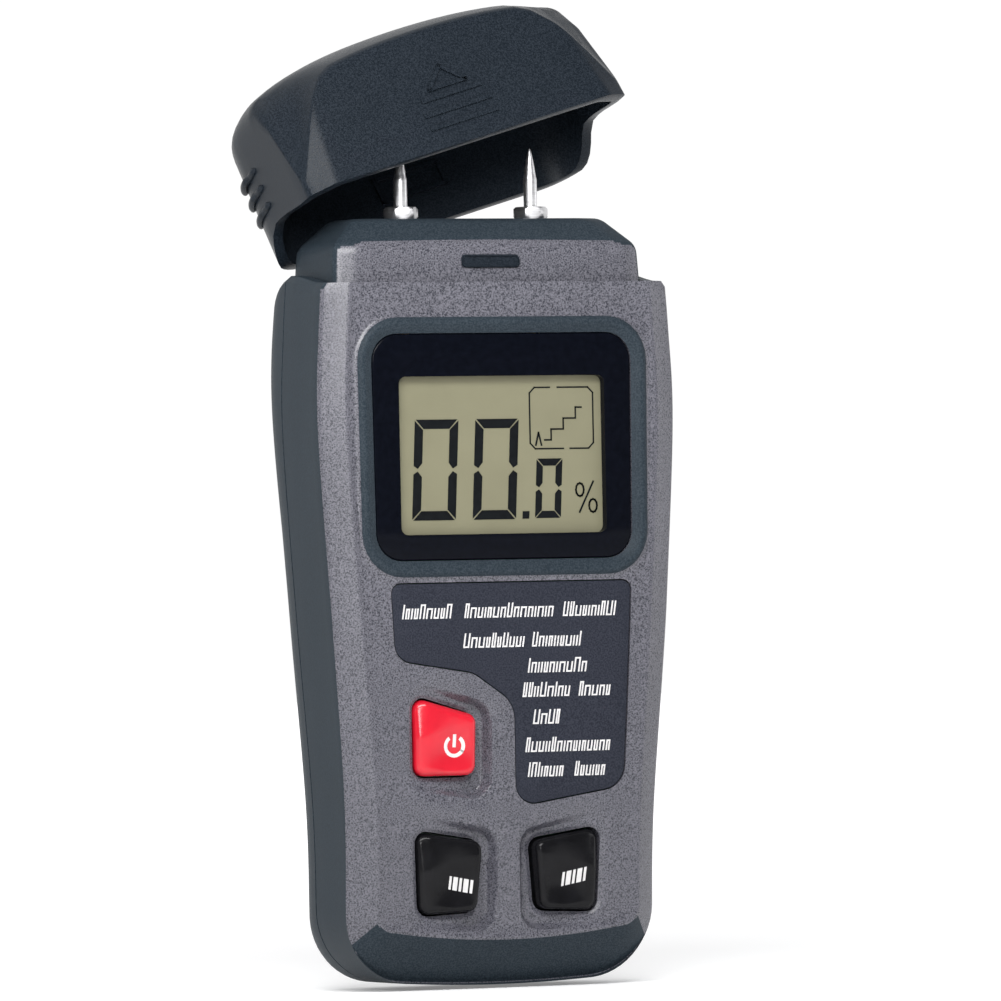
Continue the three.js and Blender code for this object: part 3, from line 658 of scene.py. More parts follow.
def case_front():
    """The front shell: edge, chamfer and sides in rows, then the face as one panel."""
    shape = Shape()
    sides = [side_rail(y, 0.8) for y in (-9.5, -7.0, -4.5, -2.0)]
    halves = [face_rail(0.9), shifted(face_rail(0), -0.22), chamfer_rail(), *sides,
              side_rail(PARTING_Y - GAP / 2, 1.0)]
    rows = soft_profile(halves, (0.5, 0.7, 0.5, 0.5, 0.5, 0.5))
    rows += [inward(rows[-1], 0.15), inward(rows[-1], 0.7), inward(rows[-1], 0.7, -1.6)]
    full = [mirrored(r) for r in rows]
    made = [shape.row(r) for r in full]
    # the strips past the chamfer are the sides, which take the dark material as painted shade
    for k, (a, b) in enumerate(zip(made, made[1:])):
        shape.strip(a, b, material=int(k > LAST_CHAMFER_STRIP))
    for end in (-1, 0):
        shoulder(shape, [row[end] for row in full])
    # painted shade on the downward-facing base bevel
    paint_shade_on_ends(shape, lambda z: z < 12)
    # the face, with the display opening, the label's recess and the key holes
    boundary, top_row = closed_over_top(full[0], 30)
    opening, label_hole = lens_outline(), label_outline(0.12)
    key_holes = [key_outline(name, 0.3) for name in KEYS]
    rings = [lens_outline(d) for d, _ in BEZEL_PROFILE[1:]]
    rings += [lens_outline(BEZEL_SHADE), label_outline(0.3)]
    for name in KEYS:
        rings += [key_outline(name, grow) for grow in (0.5, 0.75, 1.0)]
        rings.append(rounded(SCOOPS[name], SCOOP_RADIUS, spacing=0.6))
    fine = [(rounded(c, SCOOP_RADIUS, 0.3), 0.42) for c in SCOOPS.values()]
    bare = [lens_outline(3.5), *[rounded(c, KEY_RADIUS, 1.2) for c in KEYS.values()]]
    # faces on the rim round the display take the dark material as painted shade
    shape.panel(boundary, front_surface, 2.2, [opening, label_hole, *key_holes], rings, fine, bare,
                lens_outline(BEZEL_SHADE))
    # walls going in from each opening
    pockets = [(opening, LENS_POCKET), (label_hole, LABEL_POCKET), *[(h, KEY_POCKET) for h in key_holes]]
    for hole, deep in pockets:
        edge = front_surface(plane(hole))
        shape.rows([edge, shifted(edge, 0.12), shifted(edge, deep)], closed=True)
    front_ledge(shape, top_row)
    # painted shade on the upward-facing ledges along the top
    paint_shade_on_ends(shape, lambda z: z > 112)
    shape.finish("case_front", [CASE_GREY, CASE_BLACK_AND_SHADE], "case", "casing_grey", ["front_shell"])


def neck_edge(x, y):
    """Where the shoulder meets the head: the point moved in to the head's foot."""
    inner_x = min(abs(x), HEAD_HALF + GAP)
    inner_y = max(y, HEAD_FRONT_Y - GAP)
    if abs(x) > LEDGE_FACE_HALF:
        inner_y = max(inner_y, HEAD_FRONT_Y - GAP + (inner_x - LEDGE_FACE_HALF) * 0.3)
    return math.copysign(inner_x, x), min(inner_y, NECK_BACK_Y)


def shoulder(shape, profile):
    """The narrow ledge from the top edge of one side in to the head, and a step down along it."""
    ledge = []
    for p in profile:
        x, y = neck_edge(p.x, p.y)
        ledge.append((x, y, seam_z(p.y)))
    shape.rows([
        profile, [(x, y, level + 0.02) for x, y, level in ledge],
        [(x, y, level - NECK_STEP) for x, y, level in ledge],
    ])


def front_ledge(shape, top_row):
    """The level ledge behind the top edge of the face."""
    top_z = top_row[-1].y
    edge = [Vector((p.x, float(face_y(top_z)), top_z)) for p in top_row]
    widest = max(LEDGE_FACE_HALF, abs(top_row[0].x))
    back = [Vector((p.x * LEDGE_FACE_HALF / widest, HEAD_FRONT_Y - GAP, top_z)) for p in top_row]
    shape.rows([edge, shifted(edge, 0.35), back, shifted(back, z=-NECK_STEP)])


def case_rear():
    """The rear shell: round rows from the parting line to the back, then the back as one panel."""
    shape = Shape()
    edge_y = PARTING_Y + GAP / 2
    steps = 12
    widest = side_rail(edge_y, 1.0)
    back_row = rail(rear_radius, BASE_ROUND, 2.5, lambda z: BACK_Y)
    rows = [inward(widest, 0.95, -1.3), inward(widest, 0.95), inward(widest, 0.12), widest]
    for k in range(steps + 1):
        angle = math.pi / 2 * k / steps
        row = []
        for a, b in zip(widest, back_row):
            p = a.lerp(b, 1 - math.cos(angle))
            start = max(a.y, BACK_Y - math.hypot(b.x - a.x, b.z - a.z))
            p.y = start + (BACK_Y - start) * math.sin(angle)
            row.append(p)
        rows.append(row)
    # each line's own top end follows the shoulder line
    for row in rows:
        shift = seam_z(max(edge_y, row[0].y)) - row[0].z
        for i in range(SIDE_STEPS + 1):
            row[i].z += shift * max(0.0, 1 - i / 12)
    full = [mirrored(r) for r in rows]
    shape.rows(full)
    for end in (0, -1):
        shoulder(shape, [row[end] for row in full[3:]])
    boundary, top_row = closed_over_top(full[-1], 20)
    neck = upright(top_row, NECK_BACK_Y)
    shape.rows([upright(top_row, BACK_Y), neck, shifted(neck, z=-NECK_STEP)])
    door_hole = door_outline(GAP)
    screw_holes = [
        ellipse(x, z, SCREW_HOLE_RADIUS, SCREW_HOLE_RADIUS, 28) for x, z in SCREW_PLACES
        if abs(x) < half_width(z) - rear_radius(z) - 2.6
    ]
    shape.panel(boundary, flat_at(BACK_Y), 3.0, [door_hole, *screw_holes])
    bay = upright(door_hole, BACK_Y)
    shape.rows([bay, shifted(bay, -BAY_POCKET)], closed=True)
    shape.finish("case_rear", CASE_BLACK_AND_SHADE, "case", "casing_black", ["rear_shell"])


SCREW_NODES = [f"case_screw_{level}_{side}" for level in ("upper", "lower") for side in ("left", "right")]
SCREW_PLACES = [((lo.x + hi.x) / 2, (lo.z + hi.z) / 2) for lo, hi in map(span, SCREW_NODES)]


def door_outline(grow):
    corners = ((-14, DOOR_LOW.z), (14, DOOR_LOW.z), (14, DOOR_HIGH.z), (-14, DOOR_HIGH.z))
    return rounded(corners, 1.0, grow)


# ------------------------------------------------------------------ sections shared by head and cap
def section_loop(half, half_face, front, bevel, back, radius, soft=0.9):
    """One level loop, anticlockwise from the middle of the front; always the same number of points."""
    def corner(before, here, after, size, steps=4):
        a = here + (before - here).normalized() * size
        c = here + (after - here).normalized() * size
        return quadratic(a, here, c, steps)

    middle = Vector((0, front))
    face_end = Vector((half_face, front))
    side_start = Vector((half - SIDE_DRAFT, front + bevel))
    side_end = Vector((half, back - radius))
    first = corner(middle, face_end, side_start, soft)
    second = corner(face_end, side_start, side_end, soft)
    right = [middle.lerp(first[0], k / 10) for k in range(10)]
    right += first
    right += [first[-1].lerp(second[0], k / 3) for k in (1, 2)]
    right += second
    right += [second[-1].lerp(side_end, k / 6) for k in range(1, 6)]
    for k in range(11):
        angle = math.pi / 2 * k / 10
        x, y = radius * math.cos(angle), radius * math.sin(angle)
        right.append(Vector((half - radius + x, back - radius + y)))
    end = right[-1]
    right += [end.lerp(Vector((0, back)), k / 6) for k in range(1, 7)]
    left = [Vector((-p.x, p.y)) for p in reversed(right[1:-1])]
    return right + left


HEAD_PROFILE = (  # spread, front, back, height
    (0.15, -11.55, 9.8, SEAM_REAR_Z - 4), (-0.6, -10.9, 9.2, HEAD_BEVEL_Z),
    (-5.4, -7.4, 6.6, HEAD_TOP_Z), (-8.4, -4.6, 4.0, HEAD_TOP_Z),
)


def head():
    """The probe head: a block with a wide bevel; faces not turned to the front take the dark material as painted
    shade, and the back half takes it as the rear shell's real black.
    """
    shape = Shape()
    rails = []
    for spread, front, back, z in HEAD_PROFILE:
        loop = section_loop(HEAD_HALF + spread, HEAD_FACE_HALF + spread, front, 1.1, back, 6.0)
        rails.append([Vector((p.x, p.y, z)) for p in loop])
    made = shape.rows(soft_profile(rails, (1.3, 1.3), 5), closed=True)
    centre = shape.row([(v.co.x, 0, v.co.z) for v in made[-1]])
    shape.strip(made[-1], centre, closed=True)
    shape.bm.normal_update()
    # painted shade by facing, and real black on the back half
    for f in shape.bm.faces:
        f.material_index = int(abs(f.normal.y) < 0.82 or f.calc_center_median().y > 0)
    shape.finish("head_block", [HEAD_GREY, CASE_BLACK_AND_SHADE], "case", "head_grey", ["probe_head"])


def latch_slot():
    """The latch slot in the head's front: a pocket with a softened lip, made near-black as painted shade."""
    shape = Shape()
    front, middle_z = -11.3, 116.7
    corners = ((-4.9, 115.95), (4.9, 115.95), (4.9, 117.5), (-4.9, 117.5))

    def at(grow, y):
        """The slot's outline, leaning back as the head's front does."""
        outline = rounded(corners, 0.45, grow, 4)
        return [Vector((p.x, front + y + (p.y - middle_z) * 0.12, p.y)) for p in outline]

    made = shape.rows([at(0.3, 0.12), at(0.15, -0.14), at(0.0, -0.12), at(-0.1, 0.1)], closed=True)
    rest = shape.rows([at(-0.25, 0.12), at(-0.6, 0.12)], closed=True)
    shape.strip(made[-1], rest[0], closed=True)
    shape.face(rest[-1])
    # the cap's near-black material stands in for the shade inside the pocket
    shape.finish("latch_slot", CAP_BLACK, "case", "head_grey")


# ------------------------------------------------------------------ cap
CAP_HINGE = next(j for j in frame["joints"] if j["name"] == "cap_hinge")
CAP_WALL, CAP_TOP_WALL = 1.8, 1.3
CAP_CROWN = 25.4
CAP_HALF, CAP_FACE_HALF, CAP_RADIUS = 30.7, 26.3, 9.0
CAP_DRAFT = 0.035  # how much a side leans in per millimetre of height
CAP_SWING = Matrix.Rotation(math.radians(-CAP_HINGE["range_deg"][0]), 4, Vector(CAP_HINGE["axis"]))
CAP_PIVOT = Vector(CAP_HINGE["pos_m"]) / MM
OPEN_CAP = Matrix.Translation(CAP_PIVOT) @ CAP_SWING @ Matrix.Translation(-CAP_PIVOT)


def finish_cap_piece(shape, name, replaces=(), sharp=38):
    """Swing a piece drawn on the seated cap to where the cap rests, and finish it."""
    bmesh.ops.transform(shape.bm, matrix=OPEN_CAP, verts=shape.bm.verts)
    shape.finish(name, CAP_BLACK, "cap", "cap_black", replaces, sharp)


def crown_z(x, y, drop=0.0):
    """Top of the seated cap, domed both ways and cut away at the two front corners."""
    ax = abs(x)
    corner = 0.10 * max(0.0, ax - 17.5) ** 2 * float(smooth((-y - 6) / 8))
    dome = 0.0032 * ax ** 2 + 3.0e-6 * ax ** 4 + 0.0225 * y ** 2
    return SEAM_FRONT_Z + CAP_CROWN - dome - corner - drop


def cap_columns(grow, drop):
    """For each place round the cap: its wall as a function of height, and its height at the crown."""
    def loop(rise):
        return section_loop(
            CAP_HALF - CAP_DRAFT * rise + grow, CAP_FACE_HALF - 0.17 * rise + grow * 0.9,
            FRONT_Y + 0.02 * rise - grow, 2.5, BACK_Y - 0.02 * rise + grow, CAP_RADIUS + grow, 0.8,
        )

    high_rise = 20
    columns = []
    for a, b in zip(loop(0.0), loop(float(high_rise))):
        def wall(z, a=a, b=b):
            return a + (b - a) * ((z - SEAM_FRONT_Z) / high_rise)

        z = SEAM_FRONT_Z + 15
        for _ in range(12):
            p = wall(z)
            z = 0.5 * z + 0.5 * crown_z(p.x, p.y, drop)
        columns.append((wall, z))
    return columns


def cap_surface(shape, grow, drop, edge_size):
    """One skin of the cap, from its rim to the crown's edge and over the crown; returns the rim row."""
    rows, steps = 10, 6
    columns = cap_columns(grow, drop)
    tops = [wall(z) for wall, z in columns]
    skin = [[] for _ in range(rows + 1 + steps)]
    for i, ((wall, z), top) in enumerate(zip(columns, tops)):
        size = edge_size(top)
        low = float(seam_z(wall(SEAM_FRONT_Z).y)) + GAP
        for k in range(rows + 1):
            at = low + (z - size - low) * k / rows
            skin[k].append(wall(at).to_3d() + Vector((0, 0, at)))
        way = (tops[(i + 1) % len(tops)] - tops[i - 1]).normalized()
        inner = top - Vector((way.y, -way.x)) * size
        foot = wall(z - size)
        curve = quadratic(
            Vector((foot.x, foot.y, z - size)), Vector((top.x, top.y, z)),
            Vector((inner.x, inner.y, crown_z(inner.x, inner.y, drop))), steps,
        )
        for row, p in zip(skin[rows + 1:], curve[1:]):
            row.append(p)
    made = shape.rows(skin, closed=True)
    boundary = [p.to_2d() for p in skin[-1]]
    shape.panel(boundary, lambda flat: [Vector((x, y, crown_z(x, y, drop))) for x, y in flat], 2.0)
    return made[0]


def cap():
    shape = Shape()

    def outer_edge(p):
        """Crisp along the front, rounder over the ends and the back."""
        return 0.7 + 2.6 * float(smooth((p.y + 11) / 10))

    outside = cap_surface(shape, 0.0, 0.0, outer_edge)
    inside = cap_surface(shape, -CAP_WALL, CAP_TOP_WALL, lambda p: 1.0)
    lip = [
        shape.row([a.co * out + b.co * within + Vector((0, 0, -0.08)) for a, b in zip(outside, inside)])
        for out, within in ((0.85, 0.15), (0.2, 0.8))
    ]
    shape.strips([outside, *lip, inside], closed=True)
    finish_cap_piece(shape, "cap_shell", ["protective_cap"], 50)


RIB_SIZE, RIB_SIDES, RIB_STATIONS = 0.62, 10, 12
RIB_START_Y, RIB_LENGTH = 0.6, 9.2


def cap_ribs():
    """Three grip ribs on each side of the cap, round and thinning out at both ends."""
    shape = Shape()
    for side in (-1, 1):
        for rise in (5.2, 8.3, 11.4):
            path = []
            for k in range(RIB_STATIONS + 1):
                y = RIB_START_Y + RIB_LENGTH * k / RIB_STATIONS
                x = CAP_HALF - CAP_DRAFT * rise
                past = y - (BACK_Y - CAP_RADIUS)
                if past > 0:
                    x = CAP_HALF - CAP_RADIUS + math.sqrt(CAP_RADIUS ** 2 - past ** 2)
                path.append(Vector((side * x, y, SEAM_FRONT_Z + rise - 0.09 * (y - RIB_START_Y))))
            rows = []
            for k, p in enumerate(path):
                end = min(k, len(path) - 1 - k) / 1.5
                size = RIB_SIZE * math.sqrt(max(0.02, 1 - max(0.0, 1 - end) ** 2))
                along = (path[min(len(path) - 1, k + 1)] - path[max(0, k - 1)]).normalized()
                out = along.cross(Vector((0, 0, 1))).normalized() * side
                up = out.cross(along).normalized()
                rows.append([
                    p + out * (math.cos(a) * size * 0.95) + up * (math.sin(a) * size)
                    for a in (2 * math.pi * s / RIB_SIDES for s in range(RIB_SIDES))
                ])
            made = shape.rows(rows, closed=True)
            shape.face(made[0])
            shape.face(made[-1])
    finish_cap_piece(shape, "cap_ribs")


def cap_marks():
    """Raised arrow and three bars on the front, and the frame of the latch recess inside the back."""
    shape = Shape()
    front = FRONT_Y - 0.2
    for rise, half in ((3.95, 6.0), (6.3, 6.0), (8.85, 5.3)):
        z = SEAM_FRONT_Z + rise
        stroke(shape, [(-half, z), (half, z)], 0.75, front, thick=0.8)
    foot, tip, low, high = (SEAM_FRONT_Z + rise for rise in (10.4, 13.8, 2.5, 6.5))
    stroke(shape, [(-3.4, foot), (3.4, foot), (0, tip)], 0.6, front, closed=True, thick=0.8)
    latch = [(-6, low), (6, low), (6, high), (-6, high)]
    stroke(shape, latch, 0.6, BACK_Y - CAP_WALL - 0.5, closed=True, thick=0.9)
    finish_cap_piece(shape, "cap_marks")


# ------------------------------------------------------------------ display
LCD_Y = span("lcd_glass")[0].y


def lens():
    """The lens plate: black border with a softened edge, open over the display."""
    shape = Shape()
    y = FRONT_Y - 0.02
    edge = ((-0.12, 1.2), (-0.12, 0.25), (-0.22, 0.08), (-0.4, 0))
    shape.rows([upright(lens_outline(grow), y + deep) for grow, deep in edge], closed=True)
    window, inner = rounded(LCD_CORNERS, 1.3), rounded(LCD_CORNERS, 1.3, -0.08)
    shape.panel(lens_outline(-0.4), flat_at(y), 3.0, [window])
    shape.rows([upright(window, y), upright(inner, y + 0.1), upright(inner, y + 1.5)], closed=True)
    shape.finish("lens_plate", LENS_BLACK, "case", "lens_black", ["display_lens"])


def lcd():
    shape = Shape()
    corners = ((-19.4, 71.6), (19.4, 71.6), (19.4, 99.2), (-19.4, 99.2))
    front, edge = rounded(corners, 0.6, -0.25), rounded(corners, 0.6)
    levels = ((edge, 2.6), (edge, 0.25), (front, 0))
    shape.rows([upright(outline, LCD_Y + deep) for outline, deep in levels], closed=True)
    shape.panel(front, flat_at(LCD_Y), 3.0)
    shape.finish("lcd_panel", LCD_FACE, "case", "lcd", ["lcd_glass"])


def flat_figure(shape, corners, y, thick=0.05):
    """A thin raised figure in the front plane, from its outline."""
    front, back = shape.row(upright(corners, y)), shape.row(upright(corners, y + thick))
    shape.face(front)
    shape.strip(front, back, closed=True)


def stroke(shape, points, width, y, closed=False, thick=0.05):
    """A line of constant width through points."""
    count = len(points)
    for i in range(count if closed else count - 1):
        a, b = Vector(points[i]), Vector(points[(i + 1) % count])
        way = (b - a).normalized() * width / 2
        side = Vector((-way.y, way.x))
        flat_figure(shape, [a - way - side, b + way - side, b + way + side, a - way + side], y, thick)


DIGIT_LEAN = 0.05


def digit(shape, left, bottom, width, height, thick, y):
    """A seven-segment zero: six bevelled bars and no middle one."""
    gap, middle = 0.12 * thick, height / 2
    near, far = thick + gap * 0.4, width - thick - gap * 0.4
    bars = [
        [(gap, height), (width - gap, height), (far, height - thick), (near, height - thick)],
        [(gap, 0), (near, thick), (far, thick), (width - gap, 0)],
    ]
    for outer, inner in ((0, thick), (width, width - thick)):
        point = (outer + inner) / 2
        bars.append([(outer, height - gap), (inner, height - thick - gap), (inner, middle + thick * 0.75),
                     (point, middle + gap * 1.2), (outer, middle + thick * 0.45)])
        bars.append([(outer, gap), (inner, thick + gap), (inner, middle - thick * 0.75),
                     (point, middle - gap * 1.2), (outer, middle - thick * 0.45)])
    for bar in bars:
        flat_figure(shape, [(left + x + DIGIT_LEAN * z, bottom + z) for x, z in bar], y)


def lcd_figures():
    """The reading 00.0, the per cent sign and the framed staircase sign."""
    shape = Shape()
    y = LCD_Y - 0.06
    for left, bottom, width, height, thick in (
        (-15.6, 75.0, 7.7, 16.2, 1.5), (-4.9, 75.0, 7.7, 16.2, 1.5), (6.2, 75.1, 4.6, 9.6, 1.15),
    ):
        digit(shape, left, bottom, width, height, thick, y)
    flat_figure(shape, [(3.95, 75.05), (5.15, 75.05), (5.22, 76.25), (4.02, 76.25)], y)
    left, right, low, high = 5.6, 16.9, 86.3, 96.2
    cut = 0.9
    frame_left = [(left + 3.6, high), (left + cut, high), (left, high - cut), (left, low + cut),
                  (left + cut, low), (right - 5.4, low)]
    frame_right = [(left + 5.0, high), (right - cut, high), (right, high - cut), (right, low + cut),
                   (right - cut, low), (right - 4.2, low)]
    stairs = [(left + 2.6, low + 1.4)]
    for _ in range(3):
        x, z = stairs[-1]
        stairs += [(x + 1.15, z), (x + 1.15, z + 1.75), (x + 2.2, z + 1.75)]
    walker = [(left + 1.0, low + 0.6), (left + 1.5, low + 2.6), (left + 2.0, low + 0.6)]
    for points, width in ((frame_left, 0.24), (frame_right, 0.24), (stairs, 0.26), (walker, 0.28)):
        stroke(shape, points, width, y)
    for x, z in ((14.3, 79.6), (16.6, 77.0)):
        stroke(shape, ellipse(x, z, 0.7, 1.05, 12), 0.3, y, closed=True)
    stroke(shape, [(14.2, 76.0), (16.7, 80.9)], 0.3, y)
    shape.finish("lcd_figures", LCD_INK, "case", "lcd")


# ------------------------------------------------------------------ label
LABEL_ROWS = (  # height of each line and the stretches of print on it
    (60.3, ((-18.5, -9.5), (-7.5, 8.7), (10.0, 19.6))),
    (55.5, ((-7.8, 3.1), (4.4, 13.2))),
    (51.3, ((3.6, 14.5),)),
    (47.4, ((2.6, 11.4), (12.6, 18.7))),
    (43.0, ((4.4, 9.0),)),
    (38.5, ((3.0, 18.2),)),
    (34.5, ((3.4, 10.1), (11.7, 17.3))),
)


def on_face(points, sink):
    """The points of a flat outline, on the plain face or sunk into it."""
    return [Vector((x, float(face_y(z)) + sink, z)) for x, z in points]


def label():
    shape = Shape()
    rows = [on_face(label_outline(g), sink) for g, sink in ((-0.08, 0.55), (-0.08, 0.16), (-0.3, 0.06))]
    shape.rows(rows, closed=True)
    shape.panel(label_outline(-0.3), lambda flat: on_face(flat, 0.06), 2.5)
    shape.finish("label_film", FILM, "case", "label", ["label_plate"])


def leaning(x, z, wide, tall, lean):
    """A bar that moves right by lean per millimetre of its height."""
    return [(x, z), (x + wide, z), (x + wide + lean * tall, z + tall), (x + lean * tall, z + tall)]


def label_print():
    """Rows of slanted strokes where the real plate lists wood species; they spell nothing."""
    shape = Shape()
    draw = random.Random(7)
    lean, bar, space = 0.16, 0.26, 0.28
    for height, stretches in LABEL_ROWS:
        y = float(face_y(height)) + 0.02
        low = height - 1.1
        for start, end in stretches:
            x = start
            while x < end - 0.3:
                tall = 2.35 if x == start or draw.random() < 0.2 else 1.7
                wide = min(draw.choice((0.7, 0.9, 1.05)), end - x)
                if draw.random() < 0.8 and wide > 0.6:
                    for left in (x, x + wide - bar):
                        flat_figure(shape, leaning(left, low, bar, tall, lean), y)
                    level = low if draw.random() < 0.5 else low + tall - bar
                    across = leaning(x + lean * (level - low), level, wide, bar, lean)
                    flat_figure(shape, across, y - 0.004)
                else:
                    flat_figure(shape, leaning(x, low, bar, tall, lean), y)
                    wide = bar
                x += wide + space
    shape.finish("label_print", PRINT, "case", "label")


# ------------------------------------------------------------------ keys
def key(name, material, slot, proud):
    """A key: a soft-edged pad with a thumb hollow. Returns its surface for the sign on it."""
    shape = Shape()
    middle_x, middle_z = np.mean(KEYS[name], axis=0)
    edge = key_outline(name, -0.05)
    facing = 1 if name == "hold" else -1

    def surface(flat):
        x, z = flat[:, 0], flat[:, 1]
        inside = depth_inside(flat, edge)
        across = (x - middle_x) * facing
        rise = proud * (1 - (1 - np.clip(inside / 1.0, 0, 1)) ** 2.2) ** 0.8
        spot = np.exp(-(((across + 1.2) / 3.4) ** 2 + ((z - middle_z + 1.6) / 3.6) ** 2))
        hollow = 0.7 * spot * smooth(inside / 2)
        outer_strip = 0.45 * smooth((across - 2.9) / 2.0)
        upper_slope = 0.12 * np.clip(z - middle_z - 1.8 + 0.25 * across, 0, None)
        return stacked(x, face_y(z) + 0.15 - rise + hollow + outer_strip + upper_slope, z)

    top = surface(plane(edge))
    shape.rows([shifted(top, 3.2), shifted(top, 0.1), top], closed=True)
    shape.panel(edge, surface, 0.5, rings=[key_outline(name, g) for g in (-0.2, -0.4, -0.65, -0.9)])
    shape.finish(f"{name}_key", material, f"{name}_key", slot, [f"{name}_button"], sharp=50)
    return surface


def on_surface(shape, surface, outline):
    """A thin printed figure that follows a key's surface."""
    points = surface(plane(outline))
    front, back = shape.row(shifted(points, -0.03)), shape.row(shifted(points, 0.05))
    shape.face(front)
    shape.strip(front, back, closed=True)


def power_sign(cx, cz):
    """An open ring, in short pieces, and the bar in its gap."""
    out = []
    start, sweep, steps = 125, 290, 20
    for k in range(steps):
        turns = [math.radians(start + sweep * t / steps) for t in (k, k + 1)]
        out.append([
            (cx + r * math.cos(a), cz + r * math.sin(a))
            for a, radii in zip(turns, ((1.25, 1.85), (1.85, 1.25))) for r in radii
        ])
    bar = ((-0.28, -0.2), (0.28, -0.2), (0.28, 1.9), (-0.28, 1.9))
    return [*out, [(cx + x, cz + z) for x, z in bar]]


def slanted_bars(cx, cz, rise):
    """A row of leaning bars that climbs by rise per millimetre: a generic sign where a word was."""
    out = []
    widths, tall, space, lean = (0.42, 0.8, 0.42, 0.8, 0.42), 2.2, 0.3, 0.25
    x = -sum(widths) / 2 - space * (len(widths) - 1) / 2
    for wide in widths:
        corners = leaning(x, -tall / 2, wide, tall, lean / tall)
        out.append([(cx + u, cz + v + rise * u) for u, v in corners])
        x += wide + space
    return out


def keys():
    surfaces = {
        "power": key("power", RED, "button_red", 0.95),
        "mode": key("mode", BLACK_KEY, "button_black", 0.9),
        "hold": key("hold", BLACK_KEY, "button_black", 0.9),
    }
    signs = {
        "power": power_sign(-9.7, 38.7),
        "mode": slanted_bars(-8.8, 16.4, -0.2),
        "hold": slanted_bars(11.3, 17.1, 0.2),
    }
    for name, outlines in signs.items():
        shape = Shape()
        for outline in outlines:
            on_surface(shape, surfaces[name], outline)
        shape.finish(f"{name}_sign", PRINT, f"{name}_key", "white_plastic")


# ------------------------------------------------------------------ pins, nuts and door
PIN_SIDES, NUT_SIDES = 40, 48
PIN_POINT = (  # below the tip, radius
    (5.2, 1.1), (5.0, 1.07), (4.7, 0.98), (4.2, 0.92), (3.2, 0.78), (2.0, 0.58), (0.9, 0.34), (0.2, 0.13),
    (0.04, 0.05), (0.0, 0.0),
)
NUT_HALF, NUT_TURN = 2.5, 0.3


def probes():
    """The two pins, and the nuts at their feet."""
    for side in ("left", "right"):
        low, high = span(f"probe_pin_{side}")
        x, y = (low.x + high.x) / 2, (low.y + high.y) / 2
        shape = Shape()
        profile = [(0.0, low.z), (1.0, low.z), (1.1, low.z + 0.1)]
        profile += [(r, high.z - d) for d, r in PIN_POINT]
        shape.rows([level_ring(x, y, z, lambda a, r=r: r, PIN_SIDES) for r, z in profile], closed=True)
        shape.finish(f"pin_{side}", STEEL, "case", "steel", [f"probe_pin_{side}"], sharp=60)
        low, high = (corner.z for corner in span(f"pin_nut_{side}"))
        shape = Shape()
        profile = (  # height and the radius that clips the hexagon there
            (low - 0.1, 1.15), (low - 0.05, 2.55), (low + 0.3, 2.85), (high - 0.35, 2.85),
            (high - 0.02, 2.5), (high, 2.3), (high, 1.12),
        )
        rings = [level_ring(x, y, z, hexagon(clip), NUT_SIDES, NUT_TURN) for z, clip in profile]
        shape.rows(rings, closed=True)
        shape.finish(f"nut_{side}", STEEL, "case", "steel", [f"pin_nut_{side}"], sharp=35)


def hexagon(clip):
    """A hexagon's radius at each angle, no larger than clip."""
    def radius(a):
        within = (a + math.pi / 6) % (math.pi / 3) - math.pi / 6
        return min(NUT_HALF / math.cos(within), clip)

    return radius


def door():
    shape = Shape()
    levels = ((-0.02, 1.5), (-0.02, 0.3), (-0.12, 0.08), (-0.35, 0))
    made = shape.rows([upright(door_outline(g), BACK_Y - d) for g, d in levels], closed=True)
    shape.face(made[0])
    grips = [
        rounded(((-6, z), (6, z), (6, z + 1.2), (-6, z + 1.2)), 0.5, steps=4)
        for z in (57, 59.4, 61.8, 64.2)
    ]
    shape.panel(door_outline(-0.35), flat_at(BACK_Y), 3.0, grips)
    for grip in grips:
        made = shape.rows([upright(grip, BACK_Y), upright(grip, BACK_Y - 0.5)], closed=True)
        shape.face(made[-1])
    shape.finish("door_panel", CASE_BLACK_AND_SHADE, "door", "casing_black", ["battery_door"])


for build in (
    case_front, case_rear, head, latch_slot, cap, cap_ribs, cap_marks, lens, lcd, lcd_figures, label,
    label_print, keys, probes, door,
):
    build()

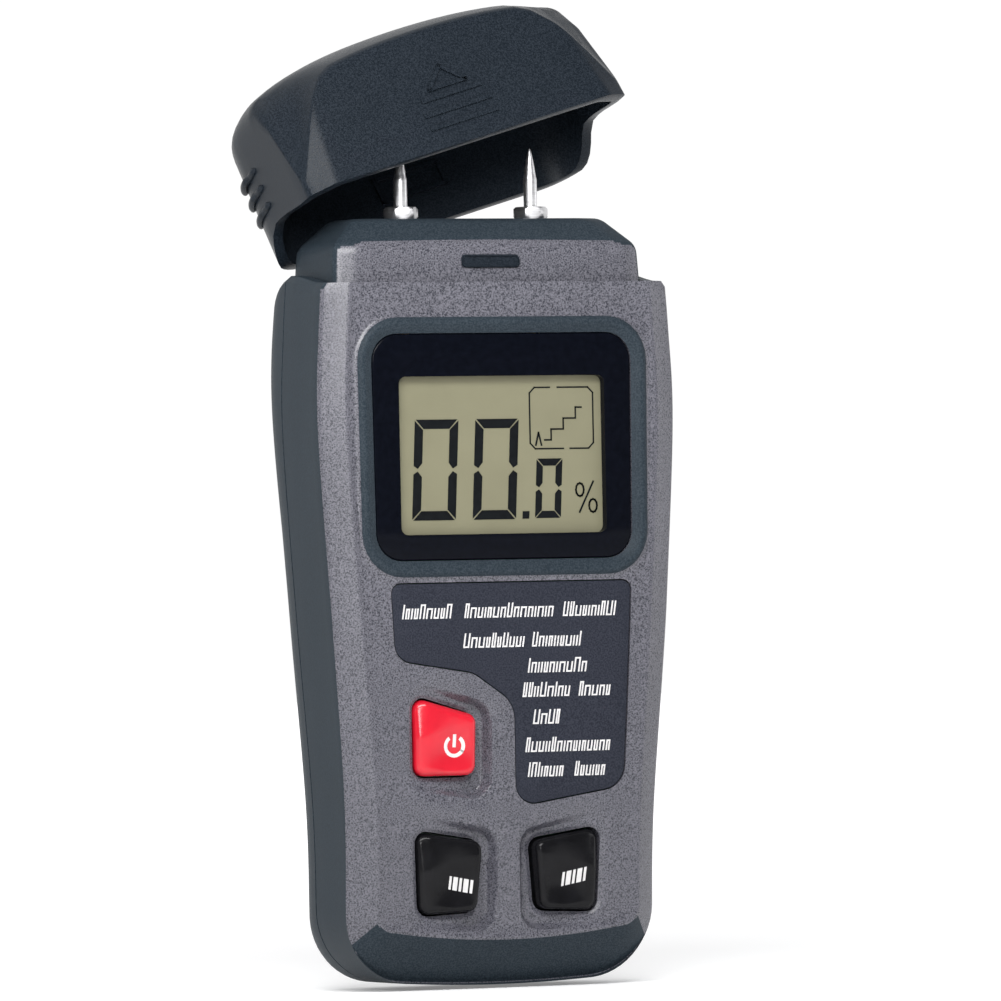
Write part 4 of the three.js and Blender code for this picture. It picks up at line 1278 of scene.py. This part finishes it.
# ------------------------------------------------------------------ floor and light
def floor():
    """A white floor that glows more with distance, so that no horizon shows."""
    made, tree, shader, coords = node_material("studio_floor")
    tone = ramp(tree, noise(tree, coords, 4), ((0.3, (0.86, 0.86, 0.86)), (0.7, (0.9, 0.9, 0.9))))
    distance = add(tree, "VectorMath")
    distance.operation = "LENGTH"
    tree.links.new(coords, distance.inputs[0])
    glow = ramp(tree, distance.outputs["Value"], ((0.15, (0.2, 0.2, 0.2)), (0.9, (0.8, 0.8, 0.8))))
    feed(tree, shader, Base_Color=tone, Roughness=0.9, Emission_Color=(1, 1, 1, 1), Emission_Strength=glow)
    mesh = bpy.data.meshes.new("floor")
    reach = 4.0
    corners = [(reach * x, reach * y, 0) for x, y in ((-1, -1), (1, -1), (1, 1), (-1, 1))]
    mesh.from_pydata(corners, [], [(0, 1, 2, 3)])
    mesh.materials.append(made)
    obj = bpy.data.objects.new("floor", mesh)
    obj.location.z = -0.0006
    bpy.context.scene.collection.objects.link(obj)


CENTRE = (0.0, 0.0, 0.07)
LIGHTS = (  # name, place, what it is aimed at, size, power
    ("key_by_camera", (-0.62, -1.16, 0.36), CENTRE, (0.34, 0.3), 5.5),
    ("above_front", (-0.12, -0.23, 0.26), (0, 0, 0.1), (0.25, 0.1), 1.25),
    ("right", (0.9, -0.25, 0.2), CENTRE, (0.3, 0.5), 0.8),
    ("top", (0.0, 0.1, 1.0), CENTRE, (0.8, 0.5), 1.2),
)

floor()
for name, place, target, size, power in LIGHTS:
    data = bpy.data.lights.new(name, "AREA")
    data.shape = "RECTANGLE"
    data.size, data.size_y = size
    data.energy = power
    light = bpy.data.objects.new(name, data)
    light.location = place
    light.rotation_euler = (Vector(target) - Vector(place)).to_track_quat("-Z", "Y").to_euler()
    bpy.context.scene.collection.objects.link(light)


def sky():
    """White behind the meter, dimmer in front of it, so that the light has a direction."""
    world = bpy.data.worlds.new("studio")
    world.use_nodes = True
    tree = world.node_tree
    parts = add(tree, "SeparateXYZ", Vector=add(tree, "TexCoord").outputs["Generated"])
    scaled = add(tree, "MapRange", From_Min=-1.0, From_Max=1.0, Value=parts.outputs["Y"])
    color = ramp(tree, scaled.outputs["Result"], ((0.3, (0.27, 0.27, 0.28)), (0.85, (1, 1, 1))))
    feed(tree, tree.nodes["Background"], Color=color, Strength=1.02)
    return world


bpy.context.scene.world = sky()
bpy.context.scene.view_settings.view_transform = "Standard"
